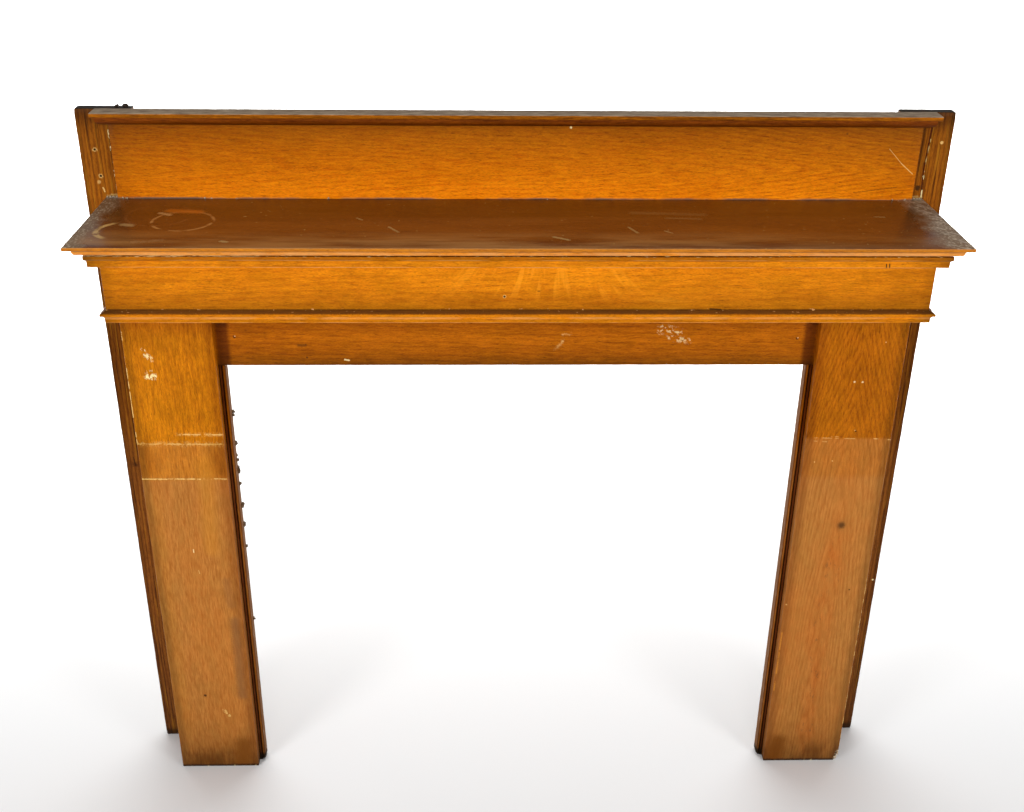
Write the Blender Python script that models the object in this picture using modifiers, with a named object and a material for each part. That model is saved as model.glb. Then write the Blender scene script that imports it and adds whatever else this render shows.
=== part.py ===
"""Fireplace mantel in varnished oak boards: two pilasters and a lintel round a square opening,
a frieze box with mouldings under a deep shelf, and a low overmantel panel with a small cap.

X runs to the viewer's right, Y into the wall and Z up. The floor is Z = 0, the centre line is
X = 0 and Y = 0 is halfway between the planks' backs and the shelf's front edge.
Depths named below are counted towards the room from the front faces of the two side planks,
which lie along the wall.
"""

import math

import bmesh
import bpy
from mathutils import Vector

# Widths and heights of the whole, in metres
CARCASS_WIDTH = 1.478
SHELF_TOP = 1.2873
OVERMANTEL_HEIGHT = 0.1632
OPENING_HEIGHT = 0.982

# Side planks against the wall
PLANK_WIDTH = 0.102
PLANK_THICKNESS = 0.022
PLANK_MARGIN = 0.060
PLANK_CORNER_RADIUS = 0.004

# Legs: pilaster boards, side boards behind them, lintel and jamb strips
LEG_DEPTH = 0.106
LEG_BOARD_THICKNESS = 0.0205
PILASTER_WIDTH = 0.169
JAMB_WIDTH = 0.045
JAMB_MARGIN = 0.013
JAMB_THICKNESS = 0.0215
JAMB_BEAD_WIDTH = 0.0066
JAMB_QUIRK_WIDTH = 0.0012

# Broken outer corner at the foot of the right pilaster
CHIP_WIDTH = 0.008
CHIP_HEIGHT = 0.020

# Shelf and its moulded edge
SHELF_OVERHANG = 0.023
SHELF_DEPTH = 0.2822
SHELF_THICKNESS = 0.0188
SHELF_FILLET = 0.0064
SHELF_FILLET_STEP = 0.0117
SHELF_OVOLO_DEPTH = 0.0053

# Frieze box under the shelf
FRIEZE_SETBACK = 0.0443
FRIEZE_HEIGHT = 0.1326
FRIEZE_BOARD_THICKNESS = 0.019

# Bed moulding at the top of the frieze
BED_QUIRK_HEIGHT = 0.0047
BED_QUIRK_PROJECTION = 0.0150
BED_FILLET_HEIGHT = 0.0066
BED_FILLET_PROJECTION = 0.0194
BED_SLOPE_HEIGHT = 0.0031
BED_FASCIA_HEIGHT = 0.0112
BED_FASCIA_PROJECTION = 0.0153

# Necking moulding at the foot of the frieze
NECK_FILLET_HEIGHT = 0.0066
NECK_FILLET_PROJECTION = 0.0028
NECK_COVE_HEIGHT = 0.0069
NECK_NOSE_HEIGHT = 0.0041
NECK_NOSE_PROJECTION = 0.0091
NECK_SLOPE_HEIGHT = 0.0045

# Overmantel panel, its cap and the moulding under the cap
PANEL_THICKNESS = 0.0095
PANEL_SEAT_DEPTH = 0.003
CUTTER_MARGIN = 0.01
CAP_DEPTH = 0.0396
CAP_THICKNESS = 0.008
CAP_MOULDING_SETBACK = 0.0124
CAP_FILLET_HEIGHT = 0.0070
CAP_OVOLO_HEIGHT = 0.0104

# Gap between pieces that touch, and the worn edges of the boards
CLEARANCE = 0.0003
ARRIS = 0.0012
ARRIS_SEGMENTS = 2
ARC_STEPS = 6

WOODS = {
    "oak_orange": ((0.50, 0.20, 0.035, 1.0), 0.38),
    "oak_brown": ((0.33, 0.14, 0.04, 1.0), 0.50),
    "oak_dark": ((0.18, 0.07, 0.02, 1.0), 0.55),
}

# Lines that several pieces share
HALF_CARCASS = CARCASS_WIDTH / 2
HALF_SHELF = HALF_CARCASS + SHELF_OVERHANG
HALF_FRIEZE = HALF_SHELF - FRIEZE_SETBACK
PLANK_OUTER = HALF_CARCASS + PLANK_MARGIN
PILASTER_INNER = HALF_CARCASS - PILASTER_WIDTH
HALF_OPENING = PILASTER_INNER - JAMB_MARGIN
MANTEL_HEIGHT = SHELF_TOP + OVERMANTEL_HEIGHT
SHELF_UNDERSIDE = SHELF_TOP - SHELF_THICKNESS
BELOW_SHELF = SHELF_UNDERSIDE - CLEARANCE
FRIEZE_FACE = SHELF_DEPTH - FRIEZE_SETBACK
FRIEZE_FOOT = SHELF_UNDERSIDE - FRIEZE_HEIGHT
FRIEZE_BACK = FRIEZE_FACE - FRIEZE_BOARD_THICKNESS
PILASTER_BACK = LEG_DEPTH - LEG_BOARD_THICKNESS
LINTEL_FACE = PILASTER_BACK - CLEARANCE
SIDE_BOARD_INNER = HALF_CARCASS - LEG_BOARD_THICKNESS
PLANK_FACE_Y = (SHELF_DEPTH - PLANK_THICKNESS) / 2


def clear_scene():
    """Remove whatever the scene starts with."""
    for obj in list(bpy.data.objects):
        bpy.data.objects.remove(obj, do_unlink=True)


def make_material(piece_name, wood):
    """Give a piece a wood of its own."""
    colour, roughness = WOODS[wood]
    material = bpy.data.materials.new(piece_name + "_" + wood)
    material.use_nodes = True
    shader = material.node_tree.nodes["Principled BSDF"]
    shader.inputs["Base Color"].default_value = colour
    shader.inputs["Roughness"].default_value = roughness
    shader.inputs["Metallic"].default_value = 0.0
    material.diffuse_color = colour
    return material


def add_piece(name, mesh, wood):
    """Link a finished mesh as one named piece of the mantel."""
    piece = bpy.data.objects.new(name, mesh)
    mantel.objects.link(piece)
    mesh.materials.clear()
    mesh.materials.append(make_material(name, wood))
    return piece


def cut_block(piece, x_range, depth_range, z_range):
    """Cut a square block out of a piece."""
    name = piece.name + "_cutter"
    cutter = bpy.data.objects.new(name, block_mesh(name, x_range, depth_range, z_range))
    cutters.objects.link(cutter)
    cutter.hide_render = True
    cutter.display_type = "WIRE"
    cut = piece.modifiers.new("cut", "BOOLEAN")
    cut.operation = "DIFFERENCE"
    cut.solver = "EXACT"
    cut.object = cutter


def soften(piece):
    """Round a board's arrises a little, never more than a quarter of its thinnest side."""
    bevel = piece.modifiers.new("arris", "BEVEL")
    bevel.width = min(ARRIS, min(piece.dimensions) / 4)
    bevel.segments = ARRIS_SEGMENTS
    bevel.limit_method = "ANGLE"
    bevel.angle_limit = math.radians(40)


def extrude_outline(name, outline, length):
    """Return a mesh of a flat outline, (u, v) pairs, extruded to half the length each way."""
    curve = bpy.data.curves.new(name + "_outline", "CURVE")
    curve.dimensions = "2D"
    curve.fill_mode = "BOTH"
    curve.extrude = length / 2
    spline = curve.splines.new("POLY")
    spline.points.add(len(outline) - 1)
    for point, (u, v) in zip(spline.points, outline):
        point.co = (u, v, 0.0, 1.0)
    spline.use_cyclic_u = True
    holder = bpy.data.objects.new(name + "_outline", curve)
    bpy.context.scene.collection.objects.link(holder)
    bpy.context.view_layer.update()
    evaluated = holder.evaluated_get(bpy.context.evaluated_depsgraph_get())
    mesh = bpy.data.meshes.new_from_object(evaluated)
    mesh.name = name
    bpy.data.objects.remove(holder, do_unlink=True)
    bpy.data.curves.remove(curve)
    return mesh


def turn_outward(work):
    """Make all the faces of a closed shape face outward."""
    bmesh.ops.recalc_face_normals(work, faces=work.faces)
    if work.calc_volume(signed=True) < 0:
        bmesh.ops.reverse_faces(work, faces=work.faces)


def place_vertices(mesh, place):
    """Send each vertex of an extruded outline to its place and turn all faces outward."""
    work = bmesh.new()
    work.from_mesh(mesh)
    bmesh.ops.remove_doubles(work, verts=work.verts, dist=0.00001)
    for vertex in work.verts:
        vertex.co = Vector(place(vertex.co.x, vertex.co.y, vertex.co.z))
    turn_outward(work)
    work.to_mesh(mesh)
    work.free()


def depth_to_y(depth):
    """Turn a depth in front of the planks' faces into a world Y."""
    return PLANK_FACE_Y - depth


def block_mesh(name, x_range, depth_range, z_range):
    """Return a square block's mesh between two limits in width, depth and height."""
    low = Vector((min(x_range), depth_to_y(max(depth_range)), min(z_range)))
    high = Vector((max(x_range), depth_to_y(min(depth_range)), max(z_range)))
    work = bmesh.new()
    bmesh.ops.create_cube(work, size=1.0)
    for vertex in work.verts:
        vertex.co = Vector([a + (c + 0.5) * (b - a) for a, b, c in zip(low, high, vertex.co)])
    mesh = bpy.data.meshes.new(name)
    work.to_mesh(mesh)
    work.free()
    return mesh


def board(name, wood, x_range, depth_range, z_range):
    """Make a plain board between two limits in width, depth and height."""
    piece = add_piece(name, block_mesh(name, x_range, depth_range, z_range), wood)
    soften(piece)
    return piece


def face_board(name, wood, outline, depth_range):
    """Make a board from its outline seen from the front, (x, z) pairs."""
    back, front = depth_range
    mesh = extrude_outline(name, outline, front - back)
    middle = (front + back) / 2
    place_vertices(mesh, lambda u, v, w: (u, depth_to_y(middle + w), v))
    piece = add_piece(name, mesh, wood)
    soften(piece)
    return piece


def plan_board(name, wood, outline, z_range):
    """Make an upright or flat piece from its outline seen from above, (x, depth) pairs."""
    low, high = z_range
    mesh = extrude_outline(name, outline, high - low)
    middle = (low + high) / 2
    place_vertices(mesh, lambda u, v, w: (u, depth_to_y(v), w + middle))
    return add_piece(name, mesh, wood)


def arc(centre, radius, start, end):
    """Return points on an arc, with the angles in degrees."""
    steps = [start + (end - start) * step / ARC_STEPS for step in range(ARC_STEPS + 1)]
    return [
        (
            centre[0] + radius * math.cos(math.radians(angle)),
            centre[1] + radius * math.sin(math.radians(angle)),
        )
        for angle in steps
    ]


def quarter(start, end, hollow):
    """Return points of a quarter oval between two points of a profile.

    A full curve leaves the start upright and a hollow one leaves it level.
    """
    points = []
    for step in range(ARC_STEPS + 1):
        turn = math.radians(90 * step / ARC_STEPS)
        along, down = (math.sin(turn), 1 - math.cos(turn)) if hollow else (1 - math.cos(turn), math.sin(turn))
        points.append((start[0] + (end[0] - start[0]) * along, start[1] + (end[1] - start[1]) * down))
    return points


def moulding_run(name, wood, profile, face_half, face_depth, back_depth):
    """Make a moulding along the front and round both ends, mitred at the two corners.

    The profile holds (projection, height) pairs. It is carried by a front face at face_depth
    and by end faces face_half from the centre, and the returns run back to back_depth.
    """
    mitre_gap = CLEARANCE / 2
    mesh = extrude_outline(name + "_front", profile, 2.0)
    front_line = face_depth + CLEARANCE
    end_line = face_half + CLEARANCE

    def place_front(u, v, w):
        return (math.copysign(end_line + u - mitre_gap, w), depth_to_y(front_line + u), v)

    place_vertices(mesh, place_front)
    add_piece(name + "_front", mesh, wood)
    for side, sign in (("left", -1), ("right", 1)):
        piece_name = name + "_" + side + "_return"
        mesh = extrude_outline(piece_name, profile, 2.0)

        def place_return(u, v, w):
            depth = front_line + u - mitre_gap if w > 0 else back_depth + CLEARANCE
            return (sign * (end_line + u), depth_to_y(depth), v)

        place_vertices(mesh, place_return)
        add_piece(piece_name, mesh, wood)


def plank_outline(sign):
    """Outline of a side plank from the front, its outer corners worn round."""
    inner = PLANK_OUTER - PLANK_WIDTH
    radius = PLANK_CORNER_RADIUS
    points = [(inner, MANTEL_HEIGHT), (inner, 0.0)]
    points += arc((PLANK_OUTER - radius, radius), radius, -90, 0)
    points += arc((PLANK_OUTER - radius, MANTEL_HEIGHT - radius), radius, 0, 90)
    return [(sign * x, z) for x, z in points]


def chipped_pilaster_outline():
    """Outline of the right pilaster from the front, with the broken corner at its foot."""
    steps = ((1.0, 0.0), (0.62, 0.22), (0.70, 0.45), (0.30, 0.74), (0.0, 1.0))
    points = [(PILASTER_INNER, BELOW_SHELF), (PILASTER_INNER, 0.0)]
    points += [(HALF_CARCASS - CHIP_WIDTH * across, CHIP_HEIGHT * up) for across, up in steps]
    points.append((HALF_CARCASS, BELOW_SHELF))
    return points


def pilaster_outline():
    """Outline of the whole left pilaster from the front."""
    return [
        (-HALF_CARCASS, 0.0),
        (-PILASTER_INNER, 0.0),
        (-PILASTER_INNER, BELOW_SHELF),
        (-HALF_CARCASS, BELOW_SHELF),
    ]


def jamb_outline(sign):
    """Outline of a jamb strip from above, with a bead along its edge at the opening."""
    radius = JAMB_BEAD_WIDTH / 2
    bead = arc((HALF_OPENING + radius, LINTEL_FACE - radius), radius, 180, 0)
    quirk = HALF_OPENING + JAMB_BEAD_WIDTH + JAMB_QUIRK_WIDTH
    points = [(HALF_OPENING, LINTEL_FACE - JAMB_THICKNESS)]
    points += bead
    points.append((quirk, LINTEL_FACE))
    points.append((HALF_OPENING + JAMB_WIDTH, LINTEL_FACE))
    points.append((HALF_OPENING + JAMB_WIDTH, LINTEL_FACE - JAMB_THICKNESS))
    return [(sign * x, depth) for x, depth in points]


def soffit_outline():
    """Outline of the frieze's soffit from above, notched round the two pilasters."""
    end = HALF_FRIEZE - FRIEZE_BOARD_THICKNESS - CLEARANCE
    notch = PILASTER_INNER - CLEARANCE
    front = FRIEZE_BACK - CLEARANCE
    pilaster_line = LEG_DEPTH + CLEARANCE
    return [
        (-end, front),
        (-end, pilaster_line),
        (-notch, pilaster_line),
        (-notch, LINTEL_FACE + CLEARANCE),
        (notch, LINTEL_FACE + CLEARANCE),
        (notch, pilaster_line),
        (end, pilaster_line),
        (end, front),
    ]


def shelf_profile():
    """Profile of the shelf's edge as (setback, height) pairs, from the top face down."""
    fillet_foot = SHELF_TOP - SHELF_FILLET
    ovolo_foot = SHELF_FILLET_STEP + SHELF_OVOLO_DEPTH
    ovolo_top = (SHELF_TOP + SHELF_UNDERSIDE - SHELF_FILLET / 2) / 2
    profile = [(0.0, SHELF_TOP), (0.0, fillet_foot), (SHELF_FILLET_STEP, ovolo_top)]
    profile += quarter((SHELF_FILLET_STEP, ovolo_top), (ovolo_foot, SHELF_UNDERSIDE), False)[1:]
    return profile


def make_shelf():
    """Make the shelf: its top face is drawn down through the moulded edge's profile.

    A shallow seat along its back takes the foot of the overmantel panel.
    """
    name = "shelf_board"
    work = bmesh.new()
    bmesh.ops.create_grid(work, x_segments=1, y_segments=1, size=1.0)
    profile = shelf_profile()

    def set_ring(vertices, setback, height):
        for vertex in vertices:
            x = math.copysign(HALF_SHELF - setback, vertex.co.x)
            depth = SHELF_DEPTH - setback if vertex.co.y < 0 else CLEARANCE
            vertex.co = Vector((x, depth_to_y(depth), height))

    set_ring(work.verts, *profile[0])
    face = work.faces[:][0]
    for level, (setback, height) in enumerate(profile[1:]):
        result = bmesh.ops.extrude_face_region(work, geom=[face])
        if level > 0:
            bmesh.ops.delete(work, geom=[face], context="FACES_ONLY")
        fresh = [item for item in result["geom"] if isinstance(item, bmesh.types.BMVert)]
        face = [item for item in result["geom"] if isinstance(item, bmesh.types.BMFace)][0]
        set_ring(fresh, setback, height)
    turn_outward(work)
    mesh = bpy.data.meshes.new(name)
    work.to_mesh(mesh)
    work.free()
    shelf = add_piece(name, mesh, "oak_orange")
    seat_end = HALF_CARCASS + CLEARANCE
    seat_depths = (-CUTTER_MARGIN, PANEL_THICKNESS + CLEARANCE)
    seat_heights = (SHELF_TOP - PANEL_SEAT_DEPTH, SHELF_TOP + CUTTER_MARGIN)
    cut_block(shelf, (-seat_end, seat_end), seat_depths, seat_heights)


def bed_profile():
    """Profile of the bed moulding: quirk, fillet, small slope and fascia, from the top down."""
    quirk_foot = BELOW_SHELF - BED_QUIRK_HEIGHT
    fillet_foot = quirk_foot - BED_FILLET_HEIGHT
    fascia_top = fillet_foot - BED_SLOPE_HEIGHT
    fascia_foot = fascia_top - BED_FASCIA_HEIGHT
    return [
        (0.0, BELOW_SHELF),
        (BED_QUIRK_PROJECTION, BELOW_SHELF),
        (BED_QUIRK_PROJECTION, quirk_foot),
        (BED_FILLET_PROJECTION, quirk_foot),
        (BED_FILLET_PROJECTION, fillet_foot),
        (BED_FASCIA_PROJECTION, fascia_top),
        (BED_FASCIA_PROJECTION, fascia_foot),
        (0.0, fascia_foot),
    ]


def necking_profile():
    """Profile of the necking: fillet, cove, nose and sloping top, from the foot up."""
    fillet_top = FRIEZE_FOOT + NECK_FILLET_HEIGHT
    nose_foot = fillet_top + NECK_COVE_HEIGHT
    nose_top = nose_foot + NECK_NOSE_HEIGHT
    cove = quarter((NECK_NOSE_PROJECTION, nose_foot), (NECK_FILLET_PROJECTION, fillet_top), True)
    profile = [(0.0, FRIEZE_FOOT), (NECK_FILLET_PROJECTION, FRIEZE_FOOT)]
    profile += list(reversed(cove))
    profile.append((NECK_NOSE_PROJECTION, nose_top))
    profile.append((0.0, nose_top + NECK_SLOPE_HEIGHT))
    return profile


def cap_moulding_profile():
    """Profile of the moulding under the cap: fillet and ovolo, from the top down."""
    top = MANTEL_HEIGHT - CAP_THICKNESS - CLEARANCE
    projection = CAP_DEPTH - PANEL_THICKNESS - CAP_MOULDING_SETBACK
    fillet_foot = top - CAP_FILLET_HEIGHT
    foot = fillet_foot - CAP_OVOLO_HEIGHT
    profile = [(0.0, top), (projection, top)]
    profile += quarter((projection, fillet_foot), (0.0, foot), False)
    return profile


def make_planks():
    """Make the two planks that lie along the wall from the floor to the cap."""
    face_board("left_side_plank", "oak_brown", plank_outline(-1), (-PLANK_THICKNESS, 0.0))
    face_board("right_side_plank", "oak_brown", plank_outline(1), (-PLANK_THICKNESS, 0.0))


def make_legs():
    """Make the boards of both legs, the lintel and the jamb strips."""
    pilaster_depths = (PILASTER_BACK, LEG_DEPTH)
    face_board("left_pilaster", "oak_brown", pilaster_outline(), pilaster_depths)
    face_board("right_pilaster", "oak_brown", chipped_pilaster_outline(), pilaster_depths)
    lintel_end = SIDE_BOARD_INNER - CLEARANCE
    board(
        "lintel_board",
        "oak_brown",
        (-lintel_end, lintel_end),
        (LINTEL_FACE - LEG_BOARD_THICKNESS, LINTEL_FACE),
        (OPENING_HEIGHT, BELOW_SHELF),
    )
    for side, sign in (("left", -1), ("right", 1)):
        board(
            side + "_outer_board",
            "oak_brown",
            (sign * SIDE_BOARD_INNER, sign * HALF_CARCASS),
            (CLEARANCE, LINTEL_FACE),
            (0.0, BELOW_SHELF),
        )
        jamb_heights = (0.0, OPENING_HEIGHT - CLEARANCE)
        plan_board(side + "_jamb_strip", "oak_dark", jamb_outline(sign), jamb_heights)


def make_frieze():
    """Make the box under the shelf with its two mouldings."""
    heights = (FRIEZE_FOOT, BELOW_SHELF)
    front_depths = (FRIEZE_BACK, FRIEZE_FACE)
    board("frieze_board", "oak_orange", (-HALF_FRIEZE, HALF_FRIEZE), front_depths, heights)
    end_depths = (LEG_DEPTH + CLEARANCE, FRIEZE_BACK - CLEARANCE)
    for side, sign in (("left", -1), ("right", 1)):
        end_faces = (sign * (HALF_FRIEZE - FRIEZE_BOARD_THICKNESS), sign * HALF_FRIEZE)
        board("frieze_" + side + "_end", "oak_orange", end_faces, end_depths, heights)
    soffit_heights = (FRIEZE_FOOT, FRIEZE_FOOT + FRIEZE_BOARD_THICKNESS)
    soffit = plan_board("frieze_soffit", "oak_dark", soffit_outline(), soffit_heights)
    soften(soffit)
    for name, profile in (("bed_moulding", bed_profile()), ("necking", necking_profile())):
        moulding_run(name, "oak_orange", profile, HALF_FRIEZE, FRIEZE_FACE, LEG_DEPTH)


def make_overmantel():
    """Make the panel above the shelf, its cap and the moulding between them."""
    panel_foot = SHELF_TOP - PANEL_SEAT_DEPTH + CLEARANCE
    panel_heights = (panel_foot, MANTEL_HEIGHT - CAP_THICKNESS - CLEARANCE)
    panel_ends = (-HALF_CARCASS, HALF_CARCASS)
    board("overmantel_panel", "oak_orange", panel_ends, (CLEARANCE, PANEL_THICKNESS), panel_heights)
    cap_heights = (MANTEL_HEIGHT - CAP_THICKNESS, MANTEL_HEIGHT)
    board("cap_board", "oak_dark", (-HALF_SHELF, HALF_SHELF), (CLEARANCE, CAP_DEPTH), cap_heights)
    profile = cap_moulding_profile()
    moulding_run("cap_moulding", "oak_orange", profile, HALF_CARCASS, PANEL_THICKNESS, 0.0)


clear_scene()
mantel = bpy.data.collections.new("fireplace_mantel")
bpy.context.scene.collection.children.link(mantel)
cutters = bpy.data.collections.new("cutters")
bpy.context.scene.collection.children.link(cutters)
make_planks()
make_legs()
make_shelf()
make_frieze()
make_overmantel()
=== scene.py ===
"""Looks of the oak fireplace mantel: worn boards, mitred mouldings and old varnish.

All lengths are in metres, in the frame of the solids: X to the viewer's right, Y to the back
and Z up. Every board and moulding is built at its real place and keeps its solid's size.
"""

import math

import bmesh
import bpy
from mathutils import Matrix, Vector, noise


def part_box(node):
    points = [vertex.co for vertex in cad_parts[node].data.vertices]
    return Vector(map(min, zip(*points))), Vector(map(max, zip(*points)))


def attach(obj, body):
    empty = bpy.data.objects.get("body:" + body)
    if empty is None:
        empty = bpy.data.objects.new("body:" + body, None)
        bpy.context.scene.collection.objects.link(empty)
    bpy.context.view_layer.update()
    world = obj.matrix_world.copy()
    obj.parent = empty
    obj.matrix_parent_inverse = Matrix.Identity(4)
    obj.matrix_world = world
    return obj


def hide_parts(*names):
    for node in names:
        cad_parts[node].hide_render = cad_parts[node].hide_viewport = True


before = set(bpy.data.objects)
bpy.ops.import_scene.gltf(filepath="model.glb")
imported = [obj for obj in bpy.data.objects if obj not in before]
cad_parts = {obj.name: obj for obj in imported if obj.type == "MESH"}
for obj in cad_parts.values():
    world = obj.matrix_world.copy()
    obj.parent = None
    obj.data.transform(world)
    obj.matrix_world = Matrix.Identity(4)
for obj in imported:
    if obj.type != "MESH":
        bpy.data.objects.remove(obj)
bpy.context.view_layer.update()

# Photograph's camera
IMAGE_WIDTH = 1024
FOCAL_PIXELS = 1233.54
SENSOR_WIDTH = 36.0
CAMERA_PLACE = (-0.0743, -2.0991, 1.9788)
CAMERA_PITCH = -26.8201
CAMERA_YAW = 1.7286
CAMERA_ROLL = 0.6626

# Worn edges
STATION_GAP = 0.009
CORNER_STEPS = 4
BOARD_ARRIS = 0.0014
ARRIS_WEAR = 0.0012

X, Y, Z = 0, 1, 2
BELOW, ABOVE, FAR = -1.0, 2.0, 9.0
LONG_X, LONG_Y, LONG_Z = "x", "y", "z"
AXES = {LONG_X: (0, 2, 1), LONG_Y: (1, 2, 0), LONG_Z: (2, 0, 1)}


# Shapes


def new_piece(name, mesh, nodes, slot):
    """Link a mesh as a piece of the mantel that stands for the named solids."""
    piece = bpy.data.objects.new(name, mesh)
    bpy.context.scene.collection.objects.link(piece)
    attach(piece, "root")
    if nodes:
        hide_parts(*nodes)
    return piece


def wear_at(place, seed, size=0.03):
    """How far an arris is worn at a place along it, from 0 to 1, in seeded patches."""
    broad = noise.noise(Vector((place / size, seed * 7.31, 0.4)))
    fine = noise.noise(Vector((place / (size * 0.28), seed * 3.17, 5.2)))
    return max(0.0, 0.25 + 0.9 * broad + 0.35 * fine)


def rounded_section(low, high, radii):
    """Points round a rectangle whose four corners have radii of their own."""
    corners = (
        (low[0], low[1], 1, 1, 180),
        (high[0], low[1], -1, 1, 270),
        (high[0], high[1], -1, -1, 0),
        (low[0], high[1], 1, -1, 90),
    )
    points = []
    for (x, y, inward_x, inward_y, start), radius in zip(corners, radii):
        for step in range(CORNER_STEPS + 1):
            angle = math.radians(start + 90 * step / CORNER_STEPS)
            points.append(
                (
                    x + inward_x * radius + radius * math.cos(angle),
                    y + inward_y * radius + radius * math.sin(angle),
                )
            )
    return points


def skin_rings(rings):
    """Return a mesh that joins closed rings of points one after another and closes both ends."""
    work = bmesh.new()
    levels = [[work.verts.new(point) for point in ring] for ring in rings]
    count = len(levels[0])
    for lower, upper in zip(levels, levels[1:]):
        for index in range(count):
            after = (index + 1) % count
            work.faces.new((lower[index], lower[after], upper[after], upper[index]))
    work.faces.new(list(reversed(levels[0])))
    work.faces.new(levels[-1])
    bmesh.ops.recalc_face_normals(work, faces=work.faces)
    if work.calc_volume(signed=True) < 0:
        bmesh.ops.reverse_faces(work, faces=work.faces)
    return work


def finish_mesh(name, work, smooth_angle=35):
    """Turn a bmesh into a mesh whose rounded arrises are shaded smooth."""
    for face in work.faces:
        face.smooth = True
    for edge in work.edges:
        if edge.is_manifold:
            edge.smooth = edge.calc_face_angle(0.0) < math.radians(smooth_angle)
    mesh = bpy.data.meshes.new(name)
    work.to_mesh(mesh)
    work.free()
    return mesh


def stations(low, high, gap):
    """Places along a board, close together at both ends, where its section is drawn."""
    ends = (0.0, BOARD_ARRIS * 0.35, BOARD_ARRIS)
    count = max(2, round((high - low) / gap))
    inner_low = low + BOARD_ARRIS
    inner_high = high - BOARD_ARRIS
    middle = [inner_low + (inner_high - inner_low) * step / count for step in range(1, count)]
    return [low + end for end in ends] + middle + [high - end for end in reversed(ends)]


def worn_board(node, long_axis, seed, wear=1.0, pull=None):
    """Build a board over its solid's box, its long arrises rounded and worn by patches.

    pull gives, for a place along the board, how far the section's low and high ends of its
    first cross axis are drawn in, for rounded or broken corners.
    """
    low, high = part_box(node)
    along, across, through = AXES[long_axis]
    rings = []
    for place in stations(low[along], high[along], STATION_GAP):
        from_end = min(place - low[along], high[along] - place)
        inset = max(0.0, BOARD_ARRIS - math.sqrt(max(0.0, 2 * from_end * BOARD_ARRIS - from_end**2)))
        inset = inset if from_end < BOARD_ARRIS else 0.0
        drawn = pull(place) if pull else (0.0, 0.0)
        start = (low[across] + inset + drawn[0], low[through] + inset)
        end = (high[across] - inset - drawn[1], high[through] - inset)
        radii = [
            BOARD_ARRIS * 0.7 + wear * ARRIS_WEAR * wear_at(place, seed + corner)
            for corner in range(4)
        ]
        ring = []
        for u, v in rounded_section(start, end, radii):
            point = [0.0, 0.0, 0.0]
            point[along], point[across], point[through] = place, u, v
            ring.append(point)
        rings.append(ring)
    return finish_mesh(node, skin_rings(rings))


def mitred_run_tree():
    """Build the tree that sweeps a profile along a straight run and mitres its ends.

    The profile holds projection in X and height in Y. The run goes along X from zero.
    """
    tree, wire, source, sink = new_group(
        "mitred moulding run",
        (
            ("Profile", "Geometry", None),
            ("Length", "Float", 1.0),
            ("Mitre at start", "Float", 0.0),
            ("Mitre at end", "Float", 0.0),
            ("Station gap", "Float", 0.006),
            ("Wear depth", "Float", 0.0003),
            ("Wear patch", "Float", 40.0),
            ("Seed", "Int", None),
            ("Wood", "Material", None),
        ),
        (("Run", "Geometry"),),
        "GeometryNodeTree",
    )

    def capture(geometry, kind, name, value):
        node = wire.add("GeometryNodeCaptureAttribute")
        node.capture_items.new(kind, name)
        wire.feed(node.inputs["Geometry"], geometry)
        wire.feed(node.inputs[name], value)
        return node.outputs["Geometry"], node.outputs[name]

    line = wire.put("GeometryNodeCurvePrimitiveLine", {"End": wire.join(source["Length"], None, None)})
    stops = {"Curve": line, "Length": source["Station gap"]}
    path = wire.put("GeometryNodeResampleCurve", stops, mode="LENGTH")
    factor = wire.add("GeometryNodeSplineParameter").outputs["Factor"]
    path, along = capture(path, "FLOAT", "Along", factor)
    corner = wire.put("GeometryNodeInputPosition")
    section, corner = capture(source["Profile"], "VECTOR", "Section", corner)
    ends = {"Curve": path, "Profile Curve": section, "Fill Caps": True}
    sweep = wire.put("GeometryNodeCurveToMesh", ends)

    out, height, _ = wire.split(corner)
    low = wire.times(source["Mitre at start"], -1.0)
    slant = {"Value": along, "To Min": low, "To Max": source["Mitre at end"]}
    slant = wire.add("ShaderNodeMapRange", slant, clamp=False).outputs["Result"]
    shift = wire.times(slant, out)
    target = wire.join(wire.plus(wire.times(along, source["Length"]), shift), out, height)
    placed = wire.put("GeometryNodeSetPosition", {"Geometry": sweep, "Position": target})

    moved = wire.vector("ADD", target, wire.join(None, source["Seed"], None))
    patches = wire.noise(moved, source["Wear patch"])
    depth = wire.times(wire.spread(patches, 0.45, 0.80, 0.0, -1.0, smooth=False), source["Wear depth"])
    inward = wire.vector("SCALE", wire.put("GeometryNodeInputNormal"), scale=depth)
    worn = wire.put("GeometryNodeSetPosition", {"Geometry": placed, "Offset": inward})
    real = wire.put("GeometryNodeRealizeInstances", {0: worn})
    run = wire.put("GeometryNodeSetMaterial", {"Geometry": real, "Material": source["Wood"]})
    wire.feed(sink["Run"], run)
    return tree


def eased(profile, radius):
    """Round each outer or inner corner of a profile by cutting it in three short steps."""
    points = []
    count = len(profile)
    for index, corner in enumerate(profile):
        here = Vector(corner)
        before = Vector(profile[index - 1]) - here
        after = Vector(profile[(index + 1) % count]) - here
        cut = min(radius, before.length * 0.4, after.length * 0.4)
        first = here + before.normalized() * cut
        last = here + after.normalized() * cut
        points += [first, (first + last) / 4 + here / 2, last]
    return [tuple(point) for point in points]


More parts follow.
